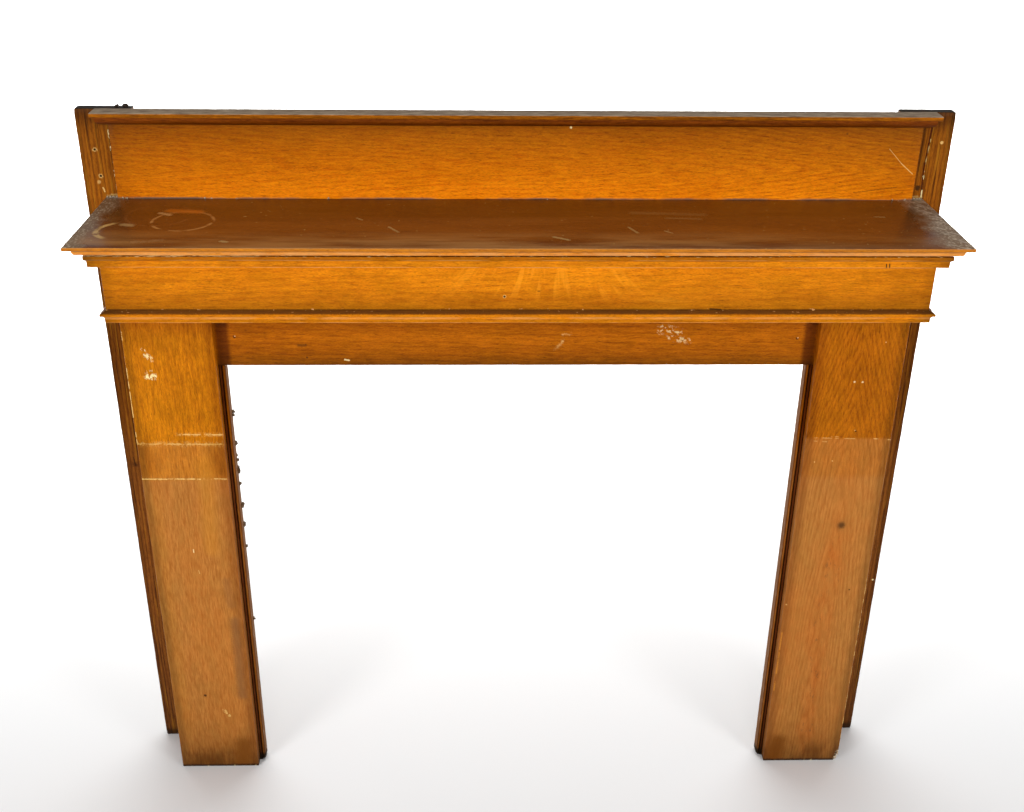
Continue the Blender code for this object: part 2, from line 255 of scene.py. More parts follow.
def moulding_run(tree, node, profile, length, mitres, place, seed, wood, slot, wear=0.0004, trim=None):
    """Sweep a profile into one run of moulding and set it at its place on the mantel."""
    curve = bpy.data.curves.new(node + "_profile", "CURVE")
    curve.dimensions = "3D"
    spline = curve.splines.new("POLY")
    spline.points.add(len(profile) - 1)
    for point, (out, height) in zip(spline.points, profile):
        point.co = (out, height, 0.0, 1.0)
    spline.use_cyclic_u = True
    holder = bpy.data.objects.new(node + "_profile", curve)
    bpy.context.scene.collection.objects.link(holder)
    values = {
        "Length": length,
        "Mitre at start": mitres[0],
        "Mitre at end": mitres[1],
        "Wear depth": wear,
        "Seed": seed,
        "Wood": wood,
    }
    mesh = grow(holder, tree, values)
    mesh.transform(place)
    work = bmesh.new()
    work.from_mesh(mesh)
    bmesh.ops.remove_doubles(work, verts=work.verts, dist=0.00002)
    for point in work.verts if trim else ():
        point.co.x = trim(point.co)
    bmesh.ops.recalc_face_normals(work, faces=work.faces)
    if work.calc_volume(signed=True) < 0:
        bmesh.ops.reverse_faces(work, faces=work.faces)
    finished = finish_mesh(node, work)
    finished.materials.clear()
    finished.materials.append(wood)
    return new_piece(node + "_wood", finished, [node], slot)


def crumb_tree():
    """Build the tree that scatters rough crumbs about given places."""
    tree, wire, source, sink = new_group(
        "crumbs",
        (
            ("Places", "Geometry", None),
            ("Size", "Float", 0.002),
            ("Scatter", "Float", 0.002),
            ("Number", "Int", 3),
            ("Seed", "Int", 1),
            ("Stuff", "Material", None),
        ),
        (("Crumbs", "Geometry"),),
        "GeometryNodeTree",
    )

    def draw(**limits):
        feeds = {**limits, "Seed": source["Seed"]}
        return wire.put("FunctionNodeRandomValue", feeds, data_type="FLOAT_VECTOR")

    copies = {"Geometry": source["Places"], "Amount": source["Number"]}
    copies = wire.add("GeometryNodeDuplicateElements", copies, domain="POINT").outputs["Geometry"]
    aside = wire.vector("SCALE", draw(Min=(-1.0, -1.0, -1.0)), scale=source["Scatter"])
    moved = wire.put("GeometryNodeSetPosition", {"Geometry": copies, "Offset": aside})
    ball = {"Subdivisions": 2, "Radius": source["Size"]}
    strewn = {
        "Points": moved,
        "Instance": wire.add("GeometryNodeMeshIcoSphere", ball).outputs["Mesh"],
        "Rotation": draw(Max=(6.2, 6.2, 6.2)),
        "Scale": draw(Min=(0.4, 0.4, 0.3)),
    }
    real = wire.put("GeometryNodeRealizeInstances", {0: wire.put("GeometryNodeInstanceOnPoints", strewn)})

    lumps = wire.put("ShaderNodeTexNoise", {"Scale": 700.0})
    depth = wire.times(wire.minus(lumps, 0.5), source["Size"])
    push = wire.vector("SCALE", wire.put("GeometryNodeInputNormal"), scale=depth)
    rough = wire.put("GeometryNodeSetPosition", {"Geometry": real, "Offset": push})
    crumbs = wire.put("GeometryNodeSetMaterial", {"Geometry": rough, "Material": source["Stuff"]})
    wire.feed(sink["Crumbs"], crumbs)
    return tree


def grow(holder, tree, values):
    """Run a Geometry Nodes tree on an object and return its plain mesh, the object removed."""
    grown = holder.modifiers.new("grow", "NODES")
    grown.node_group = tree
    for item in tree.interface.items_tree:
        if item.in_out == "INPUT" and item.name in values:
            grown[item.identifier] = values[item.name]
    bpy.context.view_layer.update()
    mesh = bpy.data.meshes.new_from_object(holder.evaluated_get(bpy.context.evaluated_depsgraph_get()))
    bpy.data.objects.remove(holder, do_unlink=True)
    return mesh


def strew(tree, name, places, size, scatter, number, seed, stuff, slot):
    """Scatter crumbs about places on the mantel, as one piece."""
    points = bpy.data.meshes.new(name + "_places")
    points.from_pydata(places, [], [])
    holder = bpy.data.objects.new(name + "_places", points)
    bpy.context.scene.collection.objects.link(holder)
    values = {"Size": size, "Scatter": scatter, "Number": number, "Seed": seed, "Stuff": stuff}
    mesh = grow(holder, tree, values)
    mesh.materials.clear()
    mesh.materials.append(stuff)
    return new_piece(name, mesh, [], slot)


# Materials


class Wiring:
    """Small helpers to add and join the nodes of one material or group."""

    def __init__(self, tree):
        self.nodes = tree.nodes
        self.links = tree.links

    def feed(self, socket, value):
        """Join an output to a socket, or set the socket to a plain value."""
        if isinstance(value, bpy.types.NodeSocket):
            self.links.new(value, socket)
        else:
            opaque = socket.type == "RGBA" and len(value) == 3
            socket.default_value = (*value, 1.0) if opaque else value

    def add(self, kind, feeds=(), **settings):
        """Add a node, make its settings, feed its inputs by name or place, and return it."""
        node = self.nodes.new(kind)
        for name, value in settings.items():
            setattr(node, name, value)
        for name, value in dict(feeds).items():
            if value is not None:
                self.feed(node.inputs[name], value)
        return node

    def put(self, kind, feeds=(), **settings):
        """Add a node and return its first output."""
        return self.add(kind, feeds, **settings).outputs[0]

    def math(self, operation, first, second=None, clamp=False):
        """Add a Math node and return its output."""
        return self.put("ShaderNodeMath", {0: first, 1: second}, operation=operation, use_clamp=clamp)

    def times(self, first, second):
        """Multiply two values."""
        return self.math("MULTIPLY", first, second)

    def plus(self, first, second, clamp=False):
        """Add two values."""
        return self.math("ADD", first, second, clamp)

    def minus(self, first, second):
        """Subtract a value from another."""
        return self.math("SUBTRACT", first, second)

    def blend(self, factor, first, second, mode="MIX"):
        """Mix two colours."""
        feeds = {"Factor": factor, "A": first, "B": second}
        return self.add("ShaderNodeMix", feeds, data_type="RGBA", blend_type=mode).outputs["Result"]

    def spread(self, value, low, high, to_low=0.0, to_high=1.0, smooth=True):
        """Map a range of a value to another, with soft ends."""
        names = ("Value", "From Min", "From Max", "To Min", "To Max")
        feeds = zip(names, (value, low, high, to_low, to_high))
        ends = "SMOOTHSTEP" if smooth else "LINEAR"
        return self.add("ShaderNodeMapRange", feeds, interpolation_type=ends).outputs["Result"]

    def noise(self, vector, scale, detail=3.0, roughness=0.5):
        """Add a Noise texture and return its value."""
        feeds = {"Vector": vector, "Scale": scale, "Detail": detail, "Roughness": roughness}
        return self.put("ShaderNodeTexNoise", feeds)

    def vector(self, operation, first, second=None, scale=None):
        """Add a Vector Math node and return its vector, or the value of a length or a product."""
        feeds = {0: first, 1: second, "Scale": scale}
        node = self.add("ShaderNodeVectorMath", feeds, operation=operation)
        return node.outputs["Value" if operation in ("DOT_PRODUCT", "LENGTH") else "Vector"]

    def stretch(self, vector, scale):
        """Scale a vector along and across, or by three different amounts."""
        return self.vector("MULTIPLY", vector, (*scale, scale[-1])[:3])

    def split(self, vector):
        """Return the X, Y and Z of a vector."""
        return tuple(self.add("ShaderNodeSeparateXYZ", {0: vector}).outputs)

    def join(self, x, y, z):
        """Make a vector from three values."""
        return self.put("ShaderNodeCombineXYZ", {0: x, 1: y, 2: z})

    def group(self, tree, **values):
        """Add a group node and feed it by its inputs' names, with _ for a space."""
        feeds = {name.replace("_", " "): value for name, value in values.items()}
        return self.add("ShaderNodeGroup", feeds, node_tree=tree)


def new_group(name, inputs, outputs, kind="ShaderNodeTree"):
    """Start a node group and return its tree, wiring, inputs and output node's sockets."""
    tree = bpy.data.node_groups.new(name, kind)
    for label, sort, value in inputs:
        socket = tree.interface.new_socket(label, in_out="INPUT", socket_type="NodeSocket" + sort)
        if value is not None:
            socket.default_value = value
    for label, sort in outputs:
        tree.interface.new_socket(label, in_out="OUTPUT", socket_type="NodeSocket" + sort)
    if kind == "GeometryNodeTree":
        tree.is_modifier = True
    start, end = tree.nodes.new("NodeGroupInput"), tree.nodes.new("NodeGroupOutput")
    return tree, Wiring(tree), start.outputs, end.inputs


def oak_figure_group():
    """Growth rings, streaks, pores and slow colour drift of oak, from grain coordinates.

    X of the grain vector runs along the board, Y across its face and Z into its thickness.
    """
    tree, wire, source, sink = new_group(
        "oak figure",
        (
            ("Grain", "Vector", None),
            ("Heart across", "Float", 0.0),
            ("Heart depth", "Float", 0.02),
            ("Taper", "Float", 0.02),
            ("Lean", "Float", 0.0),
            ("Ring width", "Float", 0.006),
            ("Ring waver", "Float", 0.006),
        ),
        tuple((label, "Float") for label in ("Rings", "Streaks", "Pores", "Drift", "Mottle")),
    )
    along, across, through = wire.split(source["Grain"])
    sway = wire.noise(wire.stretch(source["Grain"], (11.0, 45.0)), 1.0, 2.0)
    sway = wire.times(wire.minus(sway, 0.5), 0.006)
    grain = wire.join(along, wire.plus(across, sway), wire.plus(through, sway))
    waver = wire.noise(wire.stretch(grain, (2.6, 21.0)), 1.0, 4.0)
    waver = wire.times(wire.minus(waver, 0.5), source["Ring waver"])
    depth = source["Heart depth"]
    across = wire.minus(across, source["Heart across"])
    squares = wire.plus(wire.times(across, across), wire.times(depth, depth))
    rise = wire.plus(wire.times(along, source["Taper"]), source["Lean"])
    radius = wire.plus(wire.math("SQRT", squares), wire.plus(waver, rise))
    turns = wire.math("FRACT", wire.math("DIVIDE", radius, source["Ring width"]))
    early = wire.spread(turns, 0.0, 0.55)
    late = wire.spread(turns, 0.80, 1.0, 1.0, 0.0)
    rings = wire.times(early, late)
    wire.feed(sink["Rings"], rings)
    streaks = wire.noise(wire.stretch(grain, (38.0, 300.0)), 1.0, 3.0, 0.7)
    wire.feed(sink["Streaks"], wire.spread(streaks, 0.35, 0.65, smooth=False))
    dashes = wire.noise(wire.stretch(grain, (75.0, 620.0)), 1.0, 2.0, 0.6)
    porous = wire.plus(0.56, wire.times(rings, 0.05))
    wire.feed(sink["Pores"], wire.spread(wire.minus(dashes, porous), 0.0, 0.10))
    drift = wire.noise(wire.stretch(grain, (3.5, 12.0)), 1.0, 3.0, 0.55)
    wire.feed(sink["Drift"], wire.spread(drift, 0.25, 0.75))
    mottle = wire.noise(wire.stretch(grain, (19.0, 42.0)), 1.0, 4.0, 0.65)
    wire.feed(sink["Mottle"], wire.spread(mottle, 0.38, 0.66))
    return tree


def mark_group():
    """A soft-edged capsule between two places, for a scratch, a spot or a stain."""
    tree, wire, source, sink = new_group(
        "mark",
        (
            ("Place", "Vector", None),
            ("Start", "Vector", None),
            ("Span", "Vector", None),
            ("Reach", "Float", 0.002),
            ("Softness", "Float", 0.4),
            ("Ragged", "Float", 0.0),
        ),
        (("Mark", "Float"),),
    )
    offset = wire.vector("SUBTRACT", source["Place"], source["Start"])
    along = wire.vector("DOT_PRODUCT", offset, source["Span"])
    whole = wire.vector("DOT_PRODUCT", source["Span"], source["Span"])
    share = wire.math("DIVIDE", along, wire.math("MAXIMUM", whole, 1e-9), clamp=True)
    nearest = wire.vector("SCALE", source["Span"], scale=share)
    distance = wire.vector("LENGTH", wire.vector("SUBTRACT", offset, nearest))
    relative = wire.plus(wire.math("DIVIDE", distance, source["Reach"]), source["Ragged"])
    inner = wire.minus(1.0, source["Softness"])
    wire.feed(sink["Mark"], wire.spread(relative, inner, 1.0, 1.0, 0.0))
    return tree


def ring_group():
    """A thin ring on a level face, such as the foot of a vase leaves."""
    tree, wire, source, sink = new_group(
        "ring mark",
        (
            ("Place", "Vector", None),
            ("Centre", "Vector", None),
            ("Radius", "Float", 0.05),
            ("Width", "Float", 0.003),
        ),
        (("Mark", "Float"),),
    )
    distance = wire.vector("LENGTH", wire.vector("SUBTRACT", source["Place"], source["Centre"]))
    gap = wire.math("ABSOLUTE", wire.minus(distance, source["Radius"]))
    wire.feed(sink["Mark"], wire.spread(wire.math("DIVIDE", gap, source["Width"]), 0.3, 1.0, 1.0, 0.0))
    return tree


FIGURE = oak_figure_group()
MARK = mark_group()
RING = ring_group()


class Oak:
    """One board's varnished oak, built up from figure, tones, marks and dirt."""

    def __init__(
        self,
        name,
        direction,
        seed,
        pale,
        deep,
        heart=(0.0, 0.02, 0.02),
        rings=(0.009, 0.02),
        weights=(0.30, 0.55, 0.15),
        mottling=0.55,
        lean=None,
    ):
        """Start a board's wood.

        heart is the pith's place across the board, its depth and the growth's taper. rings is
        the rings' width and how much they waver. weights share the tone between slow drift,
        streaks and rings. lean is how fast the rings close in above a height, and that height.
        """
        self.material = bpy.data.materials.new(name)
        self.material.use_nodes = True
        self.wire = Wiring(self.material.node_tree)
        self.shader = self.wire.nodes["Principled BSDF"]
        self.place = self.wire.nodes.new("ShaderNodeTexCoord").outputs["Object"]
        self.xyz = self.wire.split(self.place)
        grain = self.wire.join(*[self.xyz[axis] for axis in AXES[direction]])
        self.grain = self.wire.vector("ADD", grain, (seed * 3.7, seed * 1.3, seed * 0.9))
        extra = 0.0
        if lean:
            above = self.wire.minus(self.xyz[AXES[direction][0]], lean[1])
            extra = self.wire.times(self.wire.math("MAXIMUM", above, 0.0), lean[0])
        figure = self.wire.group(
            FIGURE,
            Grain=self.grain,
            Heart_across=heart[0] + seed * 1.3,
            Heart_depth=heart[1],
            Taper=heart[2],
            Lean=extra,
            Ring_width=rings[0],
            Ring_waver=rings[1],
        )
        self.rings, self.streaks, self.pores, self.drift, self.mottle = figure.outputs
        self.ragged = self.wire.spread(
            self.wire.noise(self.place, 380.0, 3.0, 0.7), 0.0, 1.0, -1.0, 1.0, False,
        )
        tone = 0.0
        for part, weight in zip((self.drift, self.streaks, self.rings), weights):
            tone = self.wire.plus(tone, self.wire.times(part, weight))
        self.colour = self.wire.blend(tone, deep, pale)
        self.tint(self.pores, [part * 0.40 for part in deep], 0.52)
        self.tint(self.mottle, (0.74, 0.77, 0.50), mottling, "MULTIPLY")
        flakes = self.wire.noise(self.wire.stretch(self.grain, (190.0, 760.0)), 1.0, 2.0, 0.6)
        self.tint(self.wire.spread(flakes, 0.50, 0.66), (0.62, 0.58, 0.50), 0.55, "MULTIPLY")
        self.tint(self.wire.spread(flakes, 0.30, 0.44, 1.0, 0.0), (1.14, 1.14, 1.10), 0.8, "MULTIPLY")
        self.roughness = self.wire.spread(self.drift, 0.0, 1.0, 0.34, 0.46)
        self.height = self.wire.times(self.pores, -0.6)

    def tint(self, mask, colour, strength=1.0, mode="MIX"):
        """Lay a colour over the wood where a mask says."""
        factor = self.wire.times(mask, strength) if strength != 1.0 else mask
        self.colour = self.wire.blend(factor, self.colour, colour, mode)

    def tone(self, mask, colour, strength=1.0):
        """Multiply the wood by a colour where a mask says."""
        self.tint(mask, colour, strength, "MULTIPLY")

    def dull(self, mask, amount):
        """Make the varnish rougher where a mask says."""
        self.roughness = self.wire.plus(self.roughness, self.wire.times(mask, amount), True)

    def shade(self, axis, stops):
        """Multiply the colour by tones that change along one axis: pairs of place and tone."""
        ramp = self.wire.nodes.new("ShaderNodeValToRGB")
        low, high = stops[0][0], stops[-1][0]
        self.wire.feed(ramp.inputs[0], self.wire.spread(self.xyz[axis], low, high, smooth=False))
        elements = ramp.color_ramp.elements
        top = max(max(tone) if isinstance(tone, tuple) else tone for _, tone in stops)
        while len(elements) < len(stops):
            elements.new(0.5)
        for element, (place, tone) in zip(elements, stops):
            element.position = (place - low) / (high - low)
            tones = tone if isinstance(tone, tuple) else (tone, tone, tone)
            element.color = (*[part / top for part in tones], 1.0)
        self.colour = self.wire.blend(1.0, self.colour, ramp.outputs[0], "MULTIPLY")
        self.colour = self.wire.blend(1.0, self.colour, (top, top, top, 1.0), "MULTIPLY")

    def band(self, axis, low, high, soft, waver=0.0):
        """Mask that is 1 between two places along an axis, its edges wavering if asked."""
        place = self.xyz[axis]
        if waver:
            place = self.wire.plus(place, self.wire.times(self.ragged, waver))
        up = self.wire.spread(place, low - soft, low + soft)
        down = self.wire.spread(place, high - soft, high + soft, 1.0, 0.0)
        return self.wire.times(up, down)

    def patches(self, stretch, low, high, detail=4.0, shift=0.0):
        """Mask of noise patches: how many there are in a metre along, across and through."""
        place = self.wire.stretch(self.grain, stretch)
        if shift:
            place = self.wire.vector("ADD", place, (shift, shift * 0.7, shift * 0.3))
        return self.wire.spread(self.wire.noise(place, 1.0, detail, 0.6), low, high)

    def both(self, first, second):
        """Multiply two masks."""
        return self.wire.times(first, second)

    def mark(self, start, end, reach, colour, strength=1.0, softness=0.4, ragged=0.5, dent=0.0, where=None):
        """Lay a spot or scratch between two places, with a dent or a ridge of its own."""
        span = [b - a for a, b in zip(start, end)]
        edge = self.wire.times(self.ragged, ragged)
        node = self.wire.group(
            MARK, Place=self.place, Start=start, Span=span, Reach=reach, Softness=softness, Ragged=edge,
        )
        mask = self.wire.times(node.outputs["Mark"], strength)
        mask = self.both(mask, where) if where is not None else mask
        self.colour = self.wire.blend(mask, self.colour, colour)
        self.dull(mask, 0.2)
        if dent:
            self.height = self.wire.plus(self.height, self.wire.times(mask, dent))

    def marks(self, axis, level, rows):
        """Lay marks on the face at a level of an axis.

        A row holds the mark's place on that face, or both its ends, and then what mark takes.
        """
        for ends, *values in rows:
            start, end = ([*pair[:axis], level, *pair[axis:]] for pair in (ends[:2], ends[-2:]))
            self.mark(start, end, *values)

    def bare_back(self, node):
        """Leave the board's hidden back unvarnished: paler, dry and dusty."""
        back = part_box(node)[1][1]
        mask = self.band(Y, back - 0.0006, FAR, 0.0004)
        saw = self.wire.noise(self.wire.stretch(self.place, (40.0, 40.0, 420.0)), 1.0, 3.0)
        raw = self.wire.blend(self.wire.spread(saw, 0.3, 0.7), (0.20, 0.105, 0.045), (0.33, 0.19, 0.09))
        raw = self.wire.blend(self.wire.times(self.streaks, 0.5), raw, (0.15, 0.075, 0.03))
        self.tint(mask, raw)
        self.dull(mask, 0.4)

    def finish(self, gloss=0.08, bump=0.35):
        """Join the colour, roughness and bump to the shader and return the material."""
        self.wire.feed(self.shader.inputs["Base Color"], self.colour)
        self.wire.feed(self.shader.inputs["Roughness"], self.roughness)
        self.shader.inputs["Specular IOR Level"].default_value = gloss
        self.shader.inputs["Specular Tint"].default_value = (1.0, 0.78, 0.52, 1)
        bumps = self.wire.nodes.new("ShaderNodeBump")
        bumps.inputs["Strength"].default_value = bump
        bumps.inputs["Distance"].default_value = 0.0006
        fibre = self.wire.times(self.streaks, 0.3)
        self.wire.feed(bumps.inputs["Height"], self.wire.plus(self.height, fibre))
        self.wire.feed(self.shader.inputs["Normal"], bumps.outputs[0])
        return self.material


PANEL_PALE = (0.98, 0.285, 0.0040)
PANEL_DEEP = (0.68, 0.140, 0.0020)
ORANGE_PALE = (0.84, 0.280, 0.0050)
ORANGE_DEEP = (0.53, 0.135, 0.0024)
BROWN_PALE = (0.62, 0.180, 0.0035)
BROWN_DEEP = (0.31, 0.072, 0.0014)
DULL_PALE = (0.54, 0.220, 0.048)
DULL_DEEP = (0.34, 0.112, 0.019)
PLANK_PALE = (0.38, 0.112, 0.004)
PLANK_DEEP = (0.13, 0.028, 0.001)
SHELF_PALE = (0.215, 0.052, 0.005)
SHELF_DEEP = (0.095, 0.021, 0.002)
CAP_DUST_AND_SHEEN = (0.46, 0.35, 0.24)
# Pale worn wood, also used as painted highlight on the shelf's ovolo and the bed moulding's fillet arris.
WORN_WOOD_AND_HIGHLIGHT = (0.78, 0.38, 0.13)
PALE_SCRATCH = (0.88, 0.55, 0.17)
DUST = (0.56, 0.38, 0.13)
PLASTER = (0.95, 0.77, 0.37)
# Dark brown of dirt, also used as painted shade in the bed moulding's quirk and beside the panel's ends.
DIRT_AND_SHADE = (0.050, 0.018, 0.004)
SOOT = (0.010, 0.006, 0.003)


def dress(node, long_axis, seed, material, slot, wear=1.0, pull=None):
    """Build one worn board over its solid and give it its wood."""
    mesh = worn_board(node, long_axis, seed, wear, pull)
    mesh.materials.append(material)
    return new_piece(node + "_wood", mesh, [node], slot)


# The mantel's sizes, read from its solids


SHELF_LOW, SHELF_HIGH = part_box("shelf_board")
FRIEZE_LOW, FRIEZE_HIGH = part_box("frieze_board")
PANEL_LOW, PANEL_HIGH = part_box("overmantel_panel")
CAP_LOW, CAP_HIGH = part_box("cap_board")
PLANK_FACE_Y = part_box("left_side_plank")[0][1]
PILASTER_FACE_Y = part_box("left_pilaster")[0][1]
PILASTER_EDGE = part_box("right_pilaster")[0][0]
LINTEL_FACE_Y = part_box("lintel_board")[0][1]
CLEARANCE = 0.0003


# Boards


def panel_wood():
    """Orange panel, darker towards its top, with a scratch and a check at its right end."""
    heart, rings = (1.345, 0.012, 0.045), (0.0085, 0.034)
    wood = Oak(
        "panel_oak", LONG_X, 1, PANEL_PALE, PANEL_DEEP, heart, rings, (0.22, 0.60, 0.18), 0.35, (0.10, 0.30),
    )
    figured = wood.both(wood.rings, wood.wire.spread(wood.xyz[X], 0.30, 0.56))
    wood.tone(figured, (1.10, 1.12, 1.0), 0.9)
    wood.shade(Z, [(1.287, 1.24), (1.305, 1.16), (1.34, 0.94), (1.375, 0.74), (1.405, 0.57), (1.428, 0.37)])
    wood.shade(X, [
        (-0.739, 0.58), (-0.70, 0.78), (-0.60, 0.90), (-0.3, 0.98), (0.1, 1.0), (0.45, 0.94), (0.60, 0.88),
        (0.68, 0.78), (0.739, 0.68),
    ])
    face = PANEL_LOW[1]
    wood.marks(Y, face, (
        ((0.682, 1.3841, 0.708, 1.3570), 0.0008, PALE_SCRATCH, 0.55, 0.5, 0.5),
        ((0.708, 1.3570, 0.7317, 1.3372), 0.0010, PALE_SCRATCH, 0.80, 0.5, 0.5),
        ((0.6266, 1.3012, 0.7056, 1.3118), 0.0008, DIRT_AND_SHADE, 0.65, 0.6, 1.1, -0.8),
        ((0.0938, 1.4215), 0.0026, PLASTER, 0.9, 0.5, 0.6),
        ((0.60, 1.412), 0.0030, DIRT_AND_SHADE, 0.6, 0.7),
    ))
    grime = wood.band(Z, 1.2, 1.2895, 0.0012, 0.0015)
    wood.tint(wood.both(grime, wood.patches((9.0, 9.0), 0.40, 0.62)), (0.13, 0.115, 0.09), 0.8)
    wood.bare_back("overmantel_panel")
    return wood.finish()


def cap_wood():
    """Cap board: grey on top from dust and painted sheen, brown along its front."""
    wood = Oak("cap_oak", LONG_X, 2, BROWN_PALE, PLANK_DEEP, (0.0, 0.02, 0.02), (0.006, 0.02))
    wood.shade(Z, [(CAP_LOW[2], 0.75), (CAP_HIGH[2], 0.95)])
    # Grey on the top face: dust, and painted sheen.
    top = wood.band(Z, CAP_HIGH[2] - 0.0009, ABOVE, 0.0005, 0.0005)
    wood.tint(top, wood.wire.blend(wood.streaks, (0.17, 0.115, 0.08), CAP_DUST_AND_SHEEN))
    wood.dull(top, 0.3)
    return wood.finish()


def plank_wood(side, sign):
    """Coarse dark side plank, with its screw holes, knots and splits."""
    seed = 5.4 if sign < 0 else 6.8
    heart, rings = (sign * 0.66, 0.02, 0.006), (0.0075, 0.016)
    wood = Oak(side + "_plank_oak", LONG_Z, seed, PLANK_PALE, PLANK_DEEP, heart, rings, (0.2, 0.4, 0.4), 0.15)
    wood.tint(wood.patches((7.0, 330.0), 0.56, 0.68, 2.0), (0.055, 0.012, 0.0005), 0.75)
    wood.tone(wood.band(Z, BELOW, 0.78, 0.12), (1.05, 1.12, 4.0))
    upper = [
        (0.0, 0.42), (0.15, 0.62), (0.6, 0.80), (0.9, 0.62), (1.1, 0.62), (1.28, 1.15), (1.40, 0.95),
        (1.45, 0.75),
    ]
    wood.shade(Z, upper)
    wood.tint(wood.patches((8.0, 250.0), 0.55, 0.70, 2.0, 3.0), (0.58, 0.25, 0.012), 0.30)
    outer = sorted((sign * 0.800, sign * 0.792))
    wood.tone(wood.band(X, *outer, 0.006), (0.50, 0.46, 0.42), 0.8)
    wood.tone(wood.band(Z, 1.425, ABOVE, 0.022), (0.50, 0.46, 0.42), 0.8)
    face = PLANK_FACE_Y
    end = wood.band(Z, CAP_HIGH[2] - 0.0012, ABOVE, 0.0006, 0.0008)
    wood.tint(end, (0.022, 0.015, 0.010))
    # Painted shadow, with some dirt, on the plank beside the panel's end.
    shadow = wood.band(X, sign * 0.7395 - 0.004, sign * 0.7395 + 0.004, 0.003)
    wood.tint(shadow, DIRT_AND_SHADE, 0.45)
    if sign < 0:
        for hole in ((-0.7713, 1.3754), (-0.7668, 1.3265)):
            pale, dark = (0.0052, PALE_SCRATCH, 0.55, 0.5, 0.7), (0.0026, SOOT, 1.0, 0.3, 0.2, -1.5)
            wood.marks(Y, face, ((hole, *pale), (hole, *dark)))
        wood.marks(Y, face, (
            ((-0.7717, 1.3148), 0.0045, PALE_SCRATCH, 0.45, 0.6, 0.8),
            ((-0.7660, 1.3040, -0.7635, 1.2965), 0.0017, PALE_SCRATCH, 0.75, 0.5, 0.6),
        ))
        bits = wood.patches((90.0, 200.0), 0.50, 0.58, 3.0, 2.0)
        wood.marks(Y, face, (
            ((-0.7425, 1.4240, -0.7405, 1.2950), 0.0018, PLASTER, 0.8, 0.5, 0.9, 0.0, bits),
            ((-0.7805, 0.7181), 0.0100, (0.060, 0.016, 0.003), 0.75, 0.8, 0.5, -0.4),
            ((-0.7830, 0.735, -0.7800, 0.715), 0.0022, SOOT, 0.6, 0.7, 0.6),
            ((-0.7690, 0.478), 0.0022, PLASTER, 0.9, 0.4, 0.4),
        ))
    else:
        wood.marks(Y, face, [((0.7809, 1.3939), 0.0035, PALE_SCRATCH, 0.75, 0.4, 0.8)])
        split = (0.0019, (0.05, 0.006, 0.001), 0.95, 0.4, 0.6, -1.2)
        ends = (0.7579, 1.4246, 0.7548, 1.3422), (0.7548, 1.3422, 0.7579, 1.2883)
        wood.marks(Y, face, [(pair, *split) for pair in ends])
        bits = wood.patches((70.0, 200.0), 0.48, 0.58, 3.0, 2.0)
        wood.marks(Y, face, (
            ((0.7590, 1.400, 0.7560, 1.345), 0.0012, DUST, 0.8, 0.5, 0.9, 0.0, bits),
            ((0.7560, 1.345, 0.7585, 1.290), 0.0016, PLASTER, 0.9, 0.5, 0.9, 0.0, bits),
            ((0.7495, 1.3077), 0.0068, DIRT_AND_SHADE, 0.9, 0.5, 0.5, -0.8),
            ((0.7915, 0.4213), 0.0026, PLASTER, 0.95, 0.4, 0.4),
        ))
    for height, spread in ((1.2895, 0.018), (1.2915, 0.010)):
        wood.mark(
            (sign * 0.742, face, height), (sign * (0.742 + spread), face, height), 0.0020, DUST, 0.45, 0.6,
            1.1,
        )
    wood.tint(wood.band(Z, BELOW, 0.016, 0.008, 0.006), SOOT, 0.75)
    wood.bare_back(side + "_side_plank")
    return wood.finish()


def frieze_wood():
    """Bright frieze with pale ray flecks about its middle and dirt along its foot."""
    wood = Oak("frieze_oak", LONG_X, 3, ORANGE_PALE, ORANGE_DEEP, (1.30, 0.02, 0.03), (0.013, 0.03))
    wood.shade(Z, [
        (1.158, 0.62), (1.166, 0.70), (1.18, (0.80, 0.76, 0.80)), (1.20, (1.0, 0.98, 1.0)), (1.236, 1.06),
        (1.2425, 0.90),
    ])
    wood.shade(X, [
        (-0.718, 0.62), (-0.695, 0.86), (-0.60, 0.98), (0.10, 1.06), (0.60, 0.94), (0.695, 0.84),
        (0.718, 0.60),
    ])
    middle = wood.both(wood.band(X, -0.10, 0.20, 0.08), wood.band(Z, 1.190, 1.25, 0.022))
    wire = wood.wire
    fan = wire.plus(1.0, wire.times(wire.minus(wood.xyz[Z], 1.240), 5.0))
    aside = wire.times(wire.minus(wood.xyz[X], 0.05), fan)
    fanned = wire.join(wire.times(aside, 90.0), wire.times(wood.xyz[Z], 7.0), 0.0)
    flecks = wire.spread(wire.noise(fanned, 1.0, 2.0), 0.50, 0.61)
    wood.tint(wood.both(middle, flecks), (1.0, 0.37, 0.016), 0.40)
    wood.tint(wood.patches((5.0, 30.0), 0.62, 0.80, 3.0, 9.0), (0.95, 0.40, 0.02), 0.30)
    face = FRIEZE_LOW[1]
    wood.marks(Y, face, (
        ((-0.0294, 1.1839), 0.0038, PALE_SCRATCH, 0.6, 0.4, 0.4),
        ((-0.0294, 1.1839), 0.0024, SOOT, 0.95, 0.4, 0.2, -1.0),
        ((0.0285, 1.1937, 0.0318, 1.1940), 0.0014, DIRT_AND_SHADE, 0.55, 0.4, 0.3, -1.0),
        ((0.3300, 1.1610, 0.3480, 1.1600), 0.0018, SOOT, 0.8, 0.5, 0.5),
    ))
    foot = wood.band(Z, 1.0, 1.1605, 0.0012, 0.0015)
    wood.tint(foot, DIRT_AND_SHADE, 0.75)
    wood.tint(
        wood.both(wood.band(Z, 1.0, 1.1615, 0.001), wood.patches((110.0, 190.0), 0.66, 0.71, 2.0)),
        WORN_WOOD_AND_HIGHLIGHT, 0.8,
    )
    wood.bare_back("frieze_board")
    return wood.finish()


